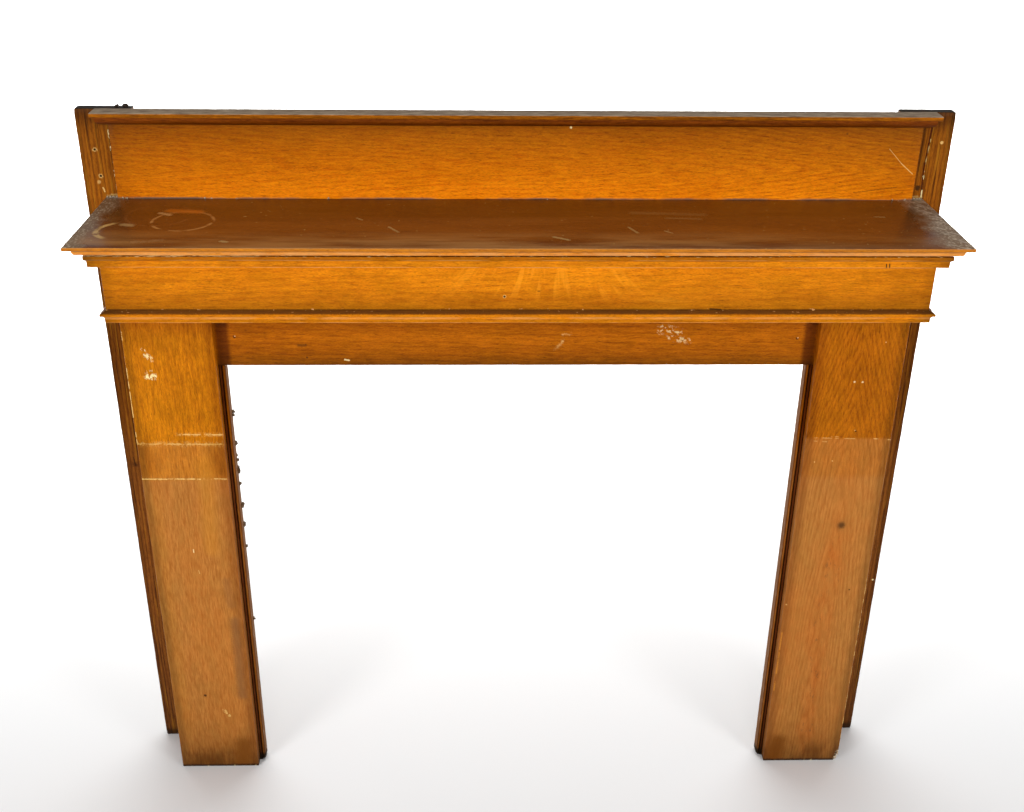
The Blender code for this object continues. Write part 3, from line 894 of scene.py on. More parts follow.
def lintel_wood():
    """Lintel with painted shade under the box, darker at its foot, with two nails, scuffs and painted shadows
    where the pilasters meet it.
    """
    wood = Oak("lintel_oak", LONG_X, 4, BROWN_PALE, BROWN_DEEP, (0.90, 0.02, 0.03), (0.010, 0.022))
    # Darker towards the top from painted shade under the box, and darker at the foot.
    wood.shade(Z, [
        (0.983, 0.42), (0.990, 0.55), (1.01, (0.82, 0.78, 0.8)), (1.04, (0.98, 0.94, 0.9)),
        (1.062, (0.80, 0.74, 0.7)), (1.09, (0.64, 0.57, 0.5)),
    ])
    face = LINTEL_FACE_Y
    # Painted shadow of each pilaster on the lintel's end.
    for sign in (-1, 1):
        edge = sign * (PILASTER_EDGE - 0.012)
        wood.tone(wood.band(X, edge - 0.012, edge + 0.013, 0.0055), (0.28, 0.20, 0.4), 0.88)
    for x, z in ((-0.5343, 1.0416), (0.5334, 1.0378)):
        wood.marks(Y, face, (
            ((x, z), 0.0034, DIRT_AND_SHADE, 0.85, 0.4, 0.4, -0.8),
            ((x + 0.001, z + 0.0012), 0.0018, WORN_WOOD_AND_HIGHLIGHT, 0.9, 0.4, 0.4),
        ))
    wood.marks(Y, face, (
        ((-0.4150, 1.0237, -0.4020, 1.0240), 0.0050, DIRT_AND_SHADE, 0.6, 0.9),
        ((-0.4007, 0.9986), 0.0024, DIRT_AND_SHADE, 0.8, 0.5),
        ((-0.3290, 0.9940, -0.3210, 0.9925), 0.0020, PLASTER, 0.75, 0.4, 0.7),
    ))
    scuff = wood.patches((160.0, 160.0), 0.50, 0.60, 3.0, 2.0)
    rubbed = wood.patches((90.0, 130.0), 0.38, 0.58, 4.0, 3.0)
    rub = (0.0045, PALE_SCRATCH, 0.34, 0.9, 1.2, 0.0, rubbed)
    bends = (0.100, 1.0475), (0.086, 1.0450), (0.085, 1.0320), (0.071, 1.0130)
    wood.marks(Y, face, [((*start, *finish), *rub) for start, finish in zip(bends, bends[1:])])
    wood.marks(Y, face, (
        ((0.2750, 1.0560, 0.3050, 1.0480), 0.0140, PLASTER, 0.60, 0.8, 0.9, 0.0, scuff),
        ((0.2900, 1.0380, 0.3244, 1.0323), 0.0080, PLASTER, 0.55, 0.8, 0.9, 0.0, scuff),
    ))
    wood.bare_back("lintel_board")
    return wood.finish()


def pilaster_wood(side, sign):
    """Pilaster: orange above, rubbed dull and brown below."""
    left = sign < 0
    heart = (-0.55, 0.02, 0.012) if left else (0.655, 0.021, 0.055)
    rings = (0.010, 0.020) if left else (0.0070, 0.036)
    weights = (0.30, 0.60, 0.10) if left else (0.22, 0.48, 0.30)
    seed, lean = (8.2, None) if left else (9.6, (0.17, 0.80))
    tones = (BROWN_PALE, BROWN_DEEP, heart, rings, weights, 0.6, lean)
    wood = Oak(side + "_pilaster_oak", LONG_Z, seed, *tones)
    # The tones darken at the very top, just under the necking: painted shade.
    if left:
        wood.tone(1.0, (0.98, 1.12, 1.0))
        wood.shade(Z, [(0.85, 1.30), (0.93, 1.30), (1.0, 1.38), (1.045, 1.16), (1.08, (0.88, 0.74, 0.8))])
    else:
        wood.shade(Z, [(0.85, 0.92), (0.93, 0.90), (1.0, 0.96), (1.045, 0.98), (1.08, (0.84, 0.86, 0.8))])
    tone = wood.wire.plus(wood.wire.times(wood.rings, 0.38), wood.wire.times(wood.streaks, 0.62))
    dull_tone = wood.wire.blend(wood.streaks if left else tone, DULL_DEEP, DULL_PALE)
    dull_tone = wood.wire.blend(wood.wire.times(wood.drift, 0.35), dull_tone, (0.56, 0.15, 0.022))
    dull_tone = wood.wire.blend(wood.wire.times(wood.mottle, 0.30), dull_tone, (0.36, 0.16, 0.030))
    change = 0.8237 if left else 0.832
    worn = wood.band(Z, BELOW, change, 0.004, 0.004)
    wood.tint(worn, dull_tone, 0.45 if left else 0.60)
    wood.tint(wood.band(Z, BELOW, 0.745, 0.010, 0.004), dull_tone, 0.85)
    wood.shade(Z, [(0.0, 0.42), (0.05, 0.66), (0.13, 0.86), (0.3, 0.96), (0.6, 1.0), (0.83, 1.0)])
    for edge, width, soft, tone, strength in (
        (0.739, -0.013, 0.011, (0.48, 0.50, 0.50), 0.85),
        (0.570, 0.012, 0.013, (0.48, 0.38, 0.34), 0.9),
    ):
        edge *= sign
        strip = wood.band(X, *sorted((edge, edge + sign * width)), soft)
        wood.tone(strip, tone, strength)
    foot_stain = wood.both(
        wood.band(Z, BELOW, 0.050, 0.030), wood.patches((12.0, 34.0), 0.34, 0.62, 4.0, 5.0),
    )
    wood.tone(foot_stain, (0.40, 0.34, 0.22), 0.75)
    face = PILASTER_FACE_Y
    if left:
        mark_left_pilaster(wood, face)
    else:
        mark_right_pilaster(wood, face)
    wood.tint(wood.band(Z, BELOW, 0.006, 0.003, 0.006), SOOT, 0.8)
    wood.tint(
        wood.both(wood.band(Z, BELOW, 0.003, 0.003), wood.patches((60.0, 130.0), 0.58, 0.66)), PLASTER, 0.7,
    )
    wood.bare_back(side + "_pilaster")
    return wood.finish()


def mark_left_pilaster(wood, face):
    """Plaster scuffs, the level scratch lines and the worn arris of the left pilaster."""
    scuff = wood.patches((140.0, 220.0), 0.46, 0.56, 3.0, 2.0)
    wood.marks(Y, face, (
        ((-0.704, 1.0250, -0.700, 1.0225), 0.0035, PLASTER, 0.9, 0.6, 0.9, 0.0, scuff),
        ((-0.6978, 1.0136, -0.6890, 1.0040), 0.0060, PLASTER, 0.85, 0.6, 0.9, 0.0, scuff),
        ((-0.7010, 0.9700, -0.6880, 0.9680), 0.0085, PLASTER, 1.0, 0.6, 0.8, 0.0, scuff),
        ((-0.7000, 0.9800, -0.6920, 0.9810), 0.0030, PLASTER, 0.8, 0.6, 0.8, 0.0, scuff),
    ))
    broken = wood.patches((12.0, 60.0), 0.34, 0.50, 3.0, 3.0)
    dotted = wood.patches((260.0, 260.0), 0.44, 0.62, 3.0, 8.0)
    drop = 0.0008
    wide = (
        (-0.660, -0.572, 0.8444, 0.0060), (-0.738, -0.574, 0.8237, 0.0085), (-0.7385, -0.572, 0.7450, 0.0035),
    )
    fine = (
        (-0.655, -0.572, 0.8444, 0.75), (-0.738, -0.574, 0.8237, 0.60), (-0.7385, -0.690, 0.7450, 0.85),
        (-0.672, -0.624, 0.7450, 0.95), (-0.596, -0.572, 0.7452, 0.60),
    )
    for low, high, z, reach in wide:
        row = ((low, z, high, z - drop), reach, PALE_SCRATCH, 0.40, 0.9, 1.0, 0.0, dotted)
        wood.marks(Y, face, [row])
    for low, high, z, strength in fine:
        row = ((low, z, high, z - drop), 0.0014, PALE_SCRATCH, strength, 0.5, 0.7, -0.4, broken)
        wood.marks(Y, face, [row])
    lower_band = wood.band(Z, 0.752, 0.828, 0.012)
    dark_edges = wood.wire.plus(
        wood.band(X, -0.745, -0.712, 0.014), wood.band(X, -0.602, -0.565, 0.012), True,
    )
    wood.tone(wood.both(lower_band, dark_edges), (0.74, 0.66, 0.40), 0.8)
    arris = wood.patches((48.0, 26.0), 0.46, 0.56, 3.0, 6.0)
    wood.marks(Y, face, (
        ((-0.7385, 1.06, -0.7385, 0.825), 0.0018, PALE_SCRATCH, 0.85, 0.4, 0.9, 0.0, arris),
        ((-0.6695, 0.2018), 0.0042, DIRT_AND_SHADE, 0.9, 0.5, 0.5, -1.0),
        ((-0.6553, 0.5790, -0.6553, 0.5720), 0.0013, PLASTER, 0.8, 0.6, 0.8),
        ((-0.6500, 0.5280, -0.6485, 0.5200), 0.0011, PALE_SCRATCH, 0.5, 0.6, 0.8),
        ((-0.632, 0.160, -0.622, 0.146), 0.0055, PALE_SCRATCH, 0.6, 0.7, 0.9, 0.0, scuff),
        ((-0.597, 0.062, -0.606, 0.008), 0.034, (0.16, 0.047, 0.004), 0.85, 0.9, 0.3),
        ((-0.588, 0.40, -0.590, 0.20), 0.016, (0.20, 0.085, 0.03), 0.60, 0.9, 0.7),
        ((-0.596, 0.50, -0.592, 0.44), 0.015, (0.22, 0.095, 0.03), 0.40, 0.9, 0.8),
        ((-0.612, 0.78, -0.618, 0.58), 0.026, (0.66, 0.27, 0.018), 0.22, 0.9, 0.2),
    ))
    greenish = wood.both(wood.band(X, -0.745, -0.708, 0.012), wood.band(Z, 0.10, 0.74, 0.06))
    wood.tone(greenish, (0.90, 0.97, 0.75), 0.45)


def mark_right_pilaster(wood, face):
    """Knot, flecks and scratch lines of the right pilaster, and its pale broken corner."""
    flecks = [((x, 0.9551), 0.0026, PLASTER, 0.75, 0.6, 0.9) for x in (0.6492, 0.665)]
    broken = wood.patches((12.0, 60.0), 0.42, 0.56, 2.0, 3.0)
    scratches = (
        ((0.5814, 0.8335, 0.668, 0.8310), 0.42), ((0.7050, 0.8310, 0.741, 0.8282), 0.55),
        ((0.5830, 0.8262, 0.612, 0.8245), 0.35), ((0.7170, 0.8262, 0.7300, 0.8255), 0.45),
        ((0.6200, 0.8362, 0.6440, 0.8352), 0.35),
    )
    rest = (0.7, 0.9, -0.3, broken)
    scratches = [(ends, 0.0015, PALE_SCRATCH, strength, *rest) for ends, strength in scratches]
    wood.marks(Y, face, flecks + scratches)
    wood.marks(Y, face, (
        ((0.6664, 0.6301), 0.0115, (0.035, 0.014, 0.005), 0.92, 0.8, 0.3, -0.4),
        ((0.6664, 0.6301), 0.022, (0.22, 0.085, 0.02), 0.35, 0.9, 0.2),
        ((0.7043, 0.4703), 0.0025, DIRT_AND_SHADE, 0.8, 0.5),
    ))
    specks = (
        (0.5750, 0.4330, 0.0022), (0.6978, 1.0388, 0.0018), (0.6645, 0.8493, 0.0018),
        (0.5928, 0.7786, 0.0017), (0.6283, 0.7812, 0.0017),
    )
    wood.marks(Y, face, [((x, z), reach, PALE_SCRATCH, 0.7, 0.6, 0.9) for x, z, reach in specks])
    wood.marks(Y, face, [((0.6663, 0.8476), 0.0028, DIRT_AND_SHADE, 0.8, 0.5)])
    uneven = wood.patches((9.0, 30.0), 0.34, 0.62, 4.0, 13.0)
    centre = wood.both(
        wood.both(wood.band(X, 0.636, 0.680, 0.018, 0.004), wood.band(Z, 0.03, 0.60, 0.08)), uneven,
    )
    wood.tone(centre, (1.08, 0.82, 0.66), 0.55)
    wood.tint(wood.both(centre, wood.patches((55.0, 150.0), 0.58, 0.68, 3.0, 9.0)), (0.15, 0.065, 0.02), 0.55)
    torn = wood.patches((190.0, 190.0), 0.38, 0.52, 3.0, 11.0)
    wood.marks(Y, face, (
        ((0.739, 0.026, 0.734, 0.0), 0.0070, (0.86, 0.70, 0.46), 0.9, 0.4, 0.9, 0.0, torn),
        ((0.7335, 0.024, 0.7320, 0.012), 0.0013, SOOT, 0.9, 0.5, 0.7),
        ((0.7310, 0.007, 0.7290, 0.002), 0.0016, DIRT_AND_SHADE, 0.8, 0.5, 0.8),
    ))
    worn = wood.patches((48.0, 26.0), 0.44, 0.56, 3.0, 6.0)
    wood.marks(Y, face, (
        ((0.739, 0.50, 0.739, 0.03), 0.0016, PALE_SCRATCH, 0.7, 0.4, 0.8, 0.0, worn),
        ((0.598, 0.058, 0.594, 0.010), 0.032, (0.15, 0.042, 0.003), 0.85, 0.9, 0.3),
        ((0.574, 0.36, 0.573, 0.20), 0.0024, (0.72, 0.27, 0.03), 0.5, 0.8, 1.0, 0.0, worn),
    ))


def broken_corner(place):
    """How far the right pilaster's outer edge is drawn in near its foot, where it is broken."""
    width, height = 0.008, 0.020
    if place >= height:
        return (0.0, 0.0)
    jag = 0.75 * noise.noise(Vector((place * 420.0, 3.0, 0.0)))
    share = min(1.0, max(0.0, 1.0 - (place / height) ** 1.3 + jag * (1 - place / height)))
    return (0.0, width * share)


def corner_rounding(node, sign):
    """Return how a plank's outer edge draws in towards its rounded ends."""
    low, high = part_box(node)
    radius = 0.004

    def pull(place):
        from_end = min(place - low[2], high[2] - place)
        if from_end >= radius:
            return (0.0, 0.0)
        drawn = radius - math.sqrt(max(0.0, radius**2 - (radius - from_end) ** 2))
        return (drawn, 0.0) if sign < 0 else (0.0, drawn)

    return pull


def make_boards():
    """Build the boards of the legs, the frieze box and the overmantel."""
    dress("overmantel_panel", LONG_X, 1, panel_wood(), "oak_orange", 0.5)
    dress("cap_board", LONG_X, 2, cap_wood(), "oak_dark")
    dress("frieze_board", LONG_X, 3, frieze_wood(), "oak_orange")
    dress("lintel_board", LONG_X, 4, lintel_wood(), "oak_brown")
    for side, sign, seed in (("left", -1, 5), ("right", 1, 6)):
        plank = side + "_side_plank"
        dress(plank, LONG_Z, seed, plank_wood(side, sign), "oak_brown", 1.3, corner_rounding(plank, sign))
        pull = broken_corner if sign > 0 else None
        dress(side + "_pilaster", LONG_Z, seed + 2, pilaster_wood(side, sign), "oak_brown", 1.2, pull)
        dress(side + "_outer_board", LONG_Z, seed + 4, outer_wood(side, sign), "oak_brown")
        wood = Oak(side + "_frieze_end_oak", LONG_Y, seed + 6, ORANGE_PALE, ORANGE_DEEP)
        wood.shade(Z, [(1.158, 0.50), (1.18, 0.72), (1.22, 0.85), (1.243, 0.7)])
        dress("frieze_" + side + "_end", LONG_Y, seed + 6, wood.finish(), "oak_orange")


def outer_wood(side, sign):
    """Plainer outer side of a leg, dull below like the pilaster beside it."""
    wood = Oak(
        side + "_outer_oak", LONG_Z, 10.3 + sign, BROWN_PALE, BROWN_DEEP, (0.06, 0.02, 0.02), mottling=0.2,
    )
    wood.tint(wood.band(Z, BELOW, 0.80, 0.05, 0.01), wood.wire.blend(wood.streaks, DULL_DEEP, DULL_PALE), 0.7)
    tone = 1.0 if sign < 0 else 0.66
    if sign < 0:
        wood.tone(wood.band(Z, 0.80, ABOVE, 0.05), (1.18, 0.99, 0.7))
    wood.shade(Z, [(0.0, 0.40 * tone), (0.08, 0.70 * tone), (0.4, 0.85 * tone), (1.0, 0.85), (1.27, 0.65)])
    wood.tint(wood.band(Z, BELOW, 0.008, 0.004, 0.006), SOOT, 0.8)
    wood.bare_back(side + "_outer_board")
    return wood.finish()


# Shelf


SHELF_FILLET = 0.0064
SHELF_STEP = 0.0117
SHELF_OVOLO = 0.0053


def shelf_levels(height, thickness, seed_wear):
    """Setback and height of each level of the shelf's moulded edge, from the top down."""
    top_round = 0.0012 + seed_wear
    fillet_foot = height - SHELF_FILLET
    underside = height - thickness
    ovolo_top = (height + underside - SHELF_FILLET / 2) / 2
    levels = [
        (top_round * (1 - math.sin(turn)), height - top_round * (1 - math.cos(turn)))
        for turn in (0.0, 0.5, 1.0, 1.5708)
    ]
    levels += [(0.0, fillet_foot + 0.0008), (0.0004, fillet_foot + 0.0002), (0.0012, fillet_foot)]
    levels += [(SHELF_STEP, ovolo_top + 0.0002)]
    for step in range(1, 6):
        turn = math.radians(90 * step / 5)
        levels.append((
            SHELF_STEP + SHELF_OVOLO * (1 - math.cos(turn)),
            ovolo_top - (ovolo_top - underside) * math.sin(turn),
        ))
    return levels


def shelf_wood():
    """Shelf: dark and glossy on top with the rings and scratches of use, worn along its edge, with a painted
    highlight on the ovolo under it.
    """
    wood = Oak("shelf_oak", LONG_X, 20, ORANGE_PALE, ORANGE_DEEP, (0.0, 0.02, 0.03), (0.012, 0.03))
    height = SHELF_HIGH[2]
    # The ovolo under the edge is made lighter than the fillet above it: painted highlight.
    wood.shade(Z, [(1.2685, 1.10), (1.2745, 1.06), (1.2765, 0.75), (1.2812, 0.74), (1.2873, 0.78)])
    # Pale band on the ovolo: wear, and painted highlight.
    pale_wear_and_highlight = wood.both(wood.band(Z, 1.2690, 1.2760, 0.0012), wood.patches((14.0, 60.0), 0.30, 0.60))
    wood.tint(pale_wear_and_highlight, WORN_WOOD_AND_HIGHLIGHT, 0.55)
    wood.tint(wood.band(Z, 1.2860, 1.2868, 0.0006, 0.0006), WORN_WOOD_AND_HIGHLIGHT, 0.30)
    quirk = wood.band(Z, 1.2765, 1.2806, 0.0012, 0.001)
    wood.tint(quirk, DIRT_AND_SHADE, 0.5)
    top_tone = wood.wire.blend(wood.wire.times(wood.streaks, 0.6), SHELF_DEEP, SHELF_PALE)
    rubbed = wood.patches((3.0, 20.0), 0.42, 0.66, 4.0, 5.0)
    toward_back = wood.wire.spread(wood.xyz[Y], -0.10, 0.12)
    top_tone = wood.wire.blend(wood.wire.times(rubbed, 0.5), top_tone, (0.26, 0.072, 0.008))
    top = wood.band(Z, height - 0.0005, ABOVE, 0.0003, 0.0002)
    wood.tint(top, top_tone)
    wood.roughness = wood.wire.blend(top, wood.roughness, (0.27, 0.27, 0.27))
    near_front = wood.both(top, wood.band(Y, -0.2, -0.085, 0.035))
    near_front = wood.both(near_front, wood.wire.spread(wood.xyz[X], 0.20, 0.62, 1.0, 0.45))
    haze = wood.both(near_front, wood.patches((4.0, 26.0), 0.30, 0.66, 4.0, 8.0))
    wood.tint(haze, (0.48, 0.22, 0.060), 0.66)
    wood.tone(wood.both(toward_back, top), (0.46, 0.72, 1.8))
    mark_shelf_top(wood, height, top)
    wood.bare_back("shelf_board")
    return wood.finish(0.38, 0.3)


def mark_shelf_top(wood, height, top):
    """Vase rings, a bleached patch, scratches, dust specks and painted sheen on the crazed ends of the shelf.
    """
    wire = wood.wire
    # Both ends of the top turn greyish, with pale crazing and slanting streaks: painted sheen on crazed
    # varnish.
    wander = wire.times(wire.minus(wire.noise(wood.place, 26.0, 4.0), 0.5), 0.060)
    reach = wire.plus(wood.xyz[X], wander)
    ends = wire.plus(wire.spread(reach, -0.750, -0.722, 1.0, 0.0), wire.spread(reach, 0.702, 0.742), True)
    ends = wood.both(ends, top)
    wood.tint(ends, (0.225, 0.142, 0.075), 0.75)
    crazed_sheen = wood.both(ends, wood.patches((250.0, 120.0), 0.50, 0.62, 4.0, 2.0))
    wood.tint(crazed_sheen, (0.76, 0.62, 0.42), 0.55)
    slanting = wire.join(wire.plus(wood.xyz[X], wood.xyz[Y]), wire.times(wood.xyz[Y], 0.35), 0.0)
    streaks = wire.spread(wire.noise(wire.stretch(slanting, (120.0, 90.0, 1.0)), 1.0, 4.0, 0.65), 0.48, 0.64)
    sheen_streaked = wood.both(wire.spread(reach, 0.700, 0.745), streaks)
    wood.tint(wood.both(sheen_streaked, top), (0.74, 0.62, 0.48), 0.50)
    wood.dull(ends, 0.15)
    wood.height = wood.wire.plus(wood.height, wood.wire.times(crazed_sheen, 1.5))
    scuffed = wood.patches((40.0, 60.0), 0.36, 0.56, 3.0, 1.0)
    for centre, radius, width, tone, strength, cut in (
        ((-0.592, -0.012), 0.053, 0.0042, (0.56, 0.27, 0.08), 0.60, None),
        ((-0.6835, -0.0643), 0.0443, 0.0068, (0.72, 0.44, 0.14), 0.85, -0.706),
        ((-0.640, 0.020), 0.058, 0.0045, (0.30, 0.11, 0.03), 0.25, None),
    ):
        ring = wood.wire.group(
            RING, Place=wood.place, Centre=(*centre, height), Radius=radius, Width=width,
        ).outputs[0]
        ring = wood.both(ring, scuffed)
        if cut is not None:
            ring = wood.both(ring, wood.band(X, -0.80, cut, 0.010))
        wood.tint(wood.both(ring, top), tone, strength)
    wood.marks(Z, height, (
        ((-0.625, 0.046, -0.575, 0.040), 0.016, (0.75, 0.20, 0.012), 0.70, 0.9, 0.6),
        ((-0.640, 0.032, -0.622, 0.022), 0.007, (0.80, 0.44, 0.15), 0.75, 0.8, 0.9),
        ((-0.690, -0.032, -0.676, -0.036), 0.010, (0.60, 0.36, 0.13), 0.60, 0.9, 0.8),
        ((-0.650, -0.123, -0.606, -0.112), 0.007, (0.46, 0.24, 0.09), 0.40, 0.9, 1.2, 0.0, scuffed),
    ))
    scratches = (
        ((-0.2892, 0.007, -0.2795, -0.0041), 0.0028, 0.50),
        ((-0.2295, -0.0422, -0.2124, -0.0688), 0.0032, 0.55),
        ((0.0546, -0.0936, 0.0792, -0.1089), 0.0042, 0.70),
        ((0.1871, -0.0398, 0.2009, -0.0719), 0.0030, 0.50),
        ((0.2491, -0.0610, 0.2598, -0.0716), 0.0026, 0.55), ((0.205, 0.040, 0.330, 0.030), 0.0100, 0.16),
        ((0.262, 0.010, 0.320, 0.006), 0.0060, 0.16), ((-0.505, -0.118, -0.497, -0.121), 0.0050, 0.70),
        ((0.640, 0.020, 0.655, 0.018), 0.0035, 0.50),
    )
    scratches = [(ends, reach, DUST, strength, 0.8, 1.3) for ends, reach, strength in scratches]
    wood.marks(Z, height, scratches)
    specks = wood.patches((170.0, 170.0), 0.715, 0.750, 2.0, 7.0)
    wood.tint(wood.both(specks, top), DUST, 0.65)
    joint = wood.both(wood.band(Y, PLANK_FACE_Y - 0.0125, 1.0, 0.0010, 0.0012), top)
    wood.tint(wood.both(joint, wood.patches((7.0, 7.0), 0.36, 0.60, 4.0, 3.0)), (0.20, 0.21, 0.20), 0.75)


def make_shelf(wood):
    """Build the shelf with its moulded edge and the nicks along it."""
    half, front, back = SHELF_HIGH[0], SHELF_LOW[1], SHELF_HIGH[1]
    height, thickness = SHELF_HIGH[2], SHELF_HIGH[2] - SHELF_LOW[2]
    depth = back - front
    side_count = round(depth / STATION_GAP)
    front_count = round(2 * half / STATION_GAP)
    outline = [(-1, back - depth * step / side_count, "side") for step in range(side_count)]
    outline += [(-1 + 2 * step / front_count, front, "front") for step in range(front_count + 1)]
    outline += [(1, front + depth * step / side_count, "side") for step in range(1, side_count + 1)]
    rings = []
    for level in range(len(shelf_levels(height, thickness, 0.0))):
        ring = []
        for index, (across, y, edge) in enumerate(outline):
            worn = 0.0009 * wear_at(index * STATION_GAP, 21)
            setback, z = shelf_levels(height, thickness, worn)[level]
            x = across * half
            if edge == "side":
                share = (back - y) / depth
                ring.append((across * (half - setback), back - (depth - setback) * share, z))
            else:
                ring.append((x * (half - setback) / half, front + setback, z))
        rings.append(ring)
    work = skin_rings(rings)
    mesh = finish_mesh("shelf_board", work)
    mesh.materials.append(wood)
    new_piece("shelf_board_wood", mesh, ["shelf_board"], "oak_orange")


# Mouldings


def quarter(start, end, hollow, steps=8):
    """Points of a quarter oval between two points: full leaves the start upright, hollow level."""
    points = []
    for step in range(steps + 1):
        turn = math.radians(90 * step / steps)
        along, down = (math.sin(turn), 1 - math.cos(turn)) if hollow else (1 - math.cos(turn), math.sin(turn))
        points.append((start[0] + (end[0] - start[0]) * along, start[1] + (end[1] - start[1]) * down))
    return points


def bed_profile():
    """Profile of the bed moulding: quirk, fillet, small slope and fascia."""
    low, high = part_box("bed_moulding_front")
    top, foot = high[2], low[2]
    quirk_foot = top - 0.0047
    fillet_foot = quirk_foot - 0.0066
    fascia_top = fillet_foot - 0.0031
    return [
        (0.0, top), (0.0150, top), (0.0150, quirk_foot), (0.0194, quirk_foot), (0.0194, fillet_foot),
        (0.0153, fascia_top), (0.0153, foot), (0.0, foot),
    ]


def necking_profile():
    """Profile of the necking: fillet, cove, nose and sloping top, from the foot up."""
    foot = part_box("necking_front")[0][2]
    fillet_top = foot + 0.0066
    nose_foot = fillet_top + 0.0069
    nose_top = nose_foot + 0.0041
    cove = quarter((0.0091, nose_foot), (0.0028, fillet_top), True)
    return [(0.0, foot), (0.0028, foot)] + cove[::-1] + [(0.0091, nose_top), (0.0, nose_top + 0.0045)]


def cap_profile():
    """Profile of the moulding under the cap: fillet and ovolo, from the top down."""
    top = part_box("cap_moulding_front")[1][2]
    return [(0.0, top), (0.0177, top)] + quarter((0.0177, top - 0.0070), (0.0, top - 0.0174), False)


def bed_wood(name, direction, seed):
    """Bed moulding: quirk darkened by painted shade, with crumbs of plaster, brown fillet and bright fascia.
    """
    wood = Oak(name, direction, seed, ORANGE_PALE, ORANGE_DEEP)
    foot, top = (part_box("bed_moulding_front")[end][2] for end in (0, 1))
    wood.shade(Z, [
        (foot, 1.04), (top - 0.0143, 1.12), (top - 0.0114, 0.60), (top - 0.0105, 0.66), (top - 0.0047, 0.74),
    ])
    worn = wood.patches((16.0, 50.0), 0.34, 0.58)
    # Pale line on the fillet's lower arris: wear, and painted highlight; a worn line along the foot.
    wood.tint(wood.both(wood.band(Z, top - 0.0114, top - 0.0107, 0.0006), worn), WORN_WOOD_AND_HIGHLIGHT, 0.75)
    wood.tint(wood.both(wood.band(Z, foot - 0.001, foot + 0.0008, 0.0006), worn), WORN_WOOD_AND_HIGHLIGHT, 0.85)
    # The quirk under the shelf is darkened: painted shade.
    quirk = wood.band(Z, top - 0.0050, ABOVE, 0.0006, 0.0006)
    wood.tint(quirk, DIRT_AND_SHADE, 0.85)
    wood.tint(wood.both(quirk, wood.patches((75.0, 300.0), 0.58, 0.64, 3.0, 4.0)), PLASTER, 0.8)
    left_part = wood.both(quirk, wood.band(X, -0.80, -0.46, 0.09))
    wood.tint(wood.both(left_part, wood.patches((60.0, 300.0), 0.44, 0.54, 3.0, 6.0)), PLASTER, 0.8)
    if direction == LONG_X:
        wood.shade(X, [
            (-0.735, 0.45), (-0.715, 0.62), (-0.66, 0.95), (0.66, 0.95), (0.715, 0.62), (0.735, 0.45),
        ])
    face = FRIEZE_LOW[1] - 0.0153
    for x in (0.6235, 0.6290):
        wood.marks(Y, face, [((x, 1.2500, x + 0.0006, 1.2440), 0.0013, DIRT_AND_SHADE, 0.95, 0.4, 0.4, -0.8)])
    return wood.finish()


def necking_wood(name, direction, seed):
    """Necking: dirt on its sloping top, bright nose and cove, worn foot."""
    wood = Oak(name, direction, seed, ORANGE_PALE, ORANGE_DEEP)
    foot, top = (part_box("necking_front")[end][2] for end in (0, 1))
    wood.shade(Z, [
        (foot, 0.92), (foot + 0.0066, 0.84), (foot + 0.0072, 1.15), (foot + 0.0135, 1.05), (top, 0.9),
    ])
    worn = wood.patches((16.0, 50.0), 0.34, 0.58)
    pale = wood.both(wood.band(Z, foot + 0.0066, foot + 0.0125, 0.0012), worn)
    wood.tint(pale, WORN_WOOD_AND_HIGHLIGHT, 0.35)
    wood.tint(wood.both(wood.band(Z, foot - 0.001, foot + 0.0008, 0.0006), worn), WORN_WOOD_AND_HIGHLIGHT, 0.80)
    slope = wood.band(Z, top - 0.0040, ABOVE, 0.0010, 0.0012)
    wood.tint(slope, (0.085, 0.038, 0.012), 0.82)
    if direction == LONG_X:
        wood.shade(X, [
            (-0.729, 0.35), (-0.718, 0.60), (-0.68, 0.95), (0.68, 0.95), (0.718, 0.60), (0.729, 0.35),
        ])
    wood.tint(wood.both(slope, wood.patches((110.0, 260.0), 0.67, 0.73, 2.0, 4.0)), WORN_WOOD_AND_HIGHLIGHT, 0.7)
    return wood.finish()


def cap_moulding_wood(name, direction, seed):
    """Cap moulding: dark brown, in the shadow of the cap."""
    wood = Oak(name, direction, seed, PLANK_PALE, PLANK_DEEP)
    foot, top = (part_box("cap_moulding_front")[end][2] for end in (0, 1))
    wood.tone(1.0, (1.10, 0.82, 1.0))
    height = top - foot
    wood.shade(Z, [(foot, 0.26), (foot + height * 0.22, 0.42), (foot + height * 0.5, 0.64), (top, 0.85)])
    return wood.finish()


def make_moulding(tree, name, profile, face_half, face_y, back_y, woods, slot, seed):
    """Build a moulding's front run and its two returns, mitred where they meet."""
    half_gap = CLEARANCE / 2
    length = 2 * (face_half + CLEARANCE - half_gap)
    place = Matrix.Translation((-length / 2, face_y - CLEARANCE, 0.0)) @ Matrix.Diagonal((1, -1, 1, 1))
    shape = eased(profile, 0.0005)
    moulding_run(tree, name + "_front", shape, length, (1.0, 1.0), place, seed, woods[0], slot)
    return_length = back_y - CLEARANCE - face_y - half_gap
    for side, sign in (("left", -1), ("right", 1)):
        turned = Matrix(((0, sign, 0, 0), (-1, 0, 0, 0), (0, 0, 1, 0), (0, 0, 0, 1)))
        corner = Matrix.Translation((sign * (face_half + CLEARANCE), back_y - CLEARANCE, 0.0))
        node = name + "_" + side + "_return"
        moulding_run(
            tree, node, shape, return_length + CLEARANCE, (0.0, 1.0), corner @ turned, seed + 3 + sign,
            woods[1], slot
        )


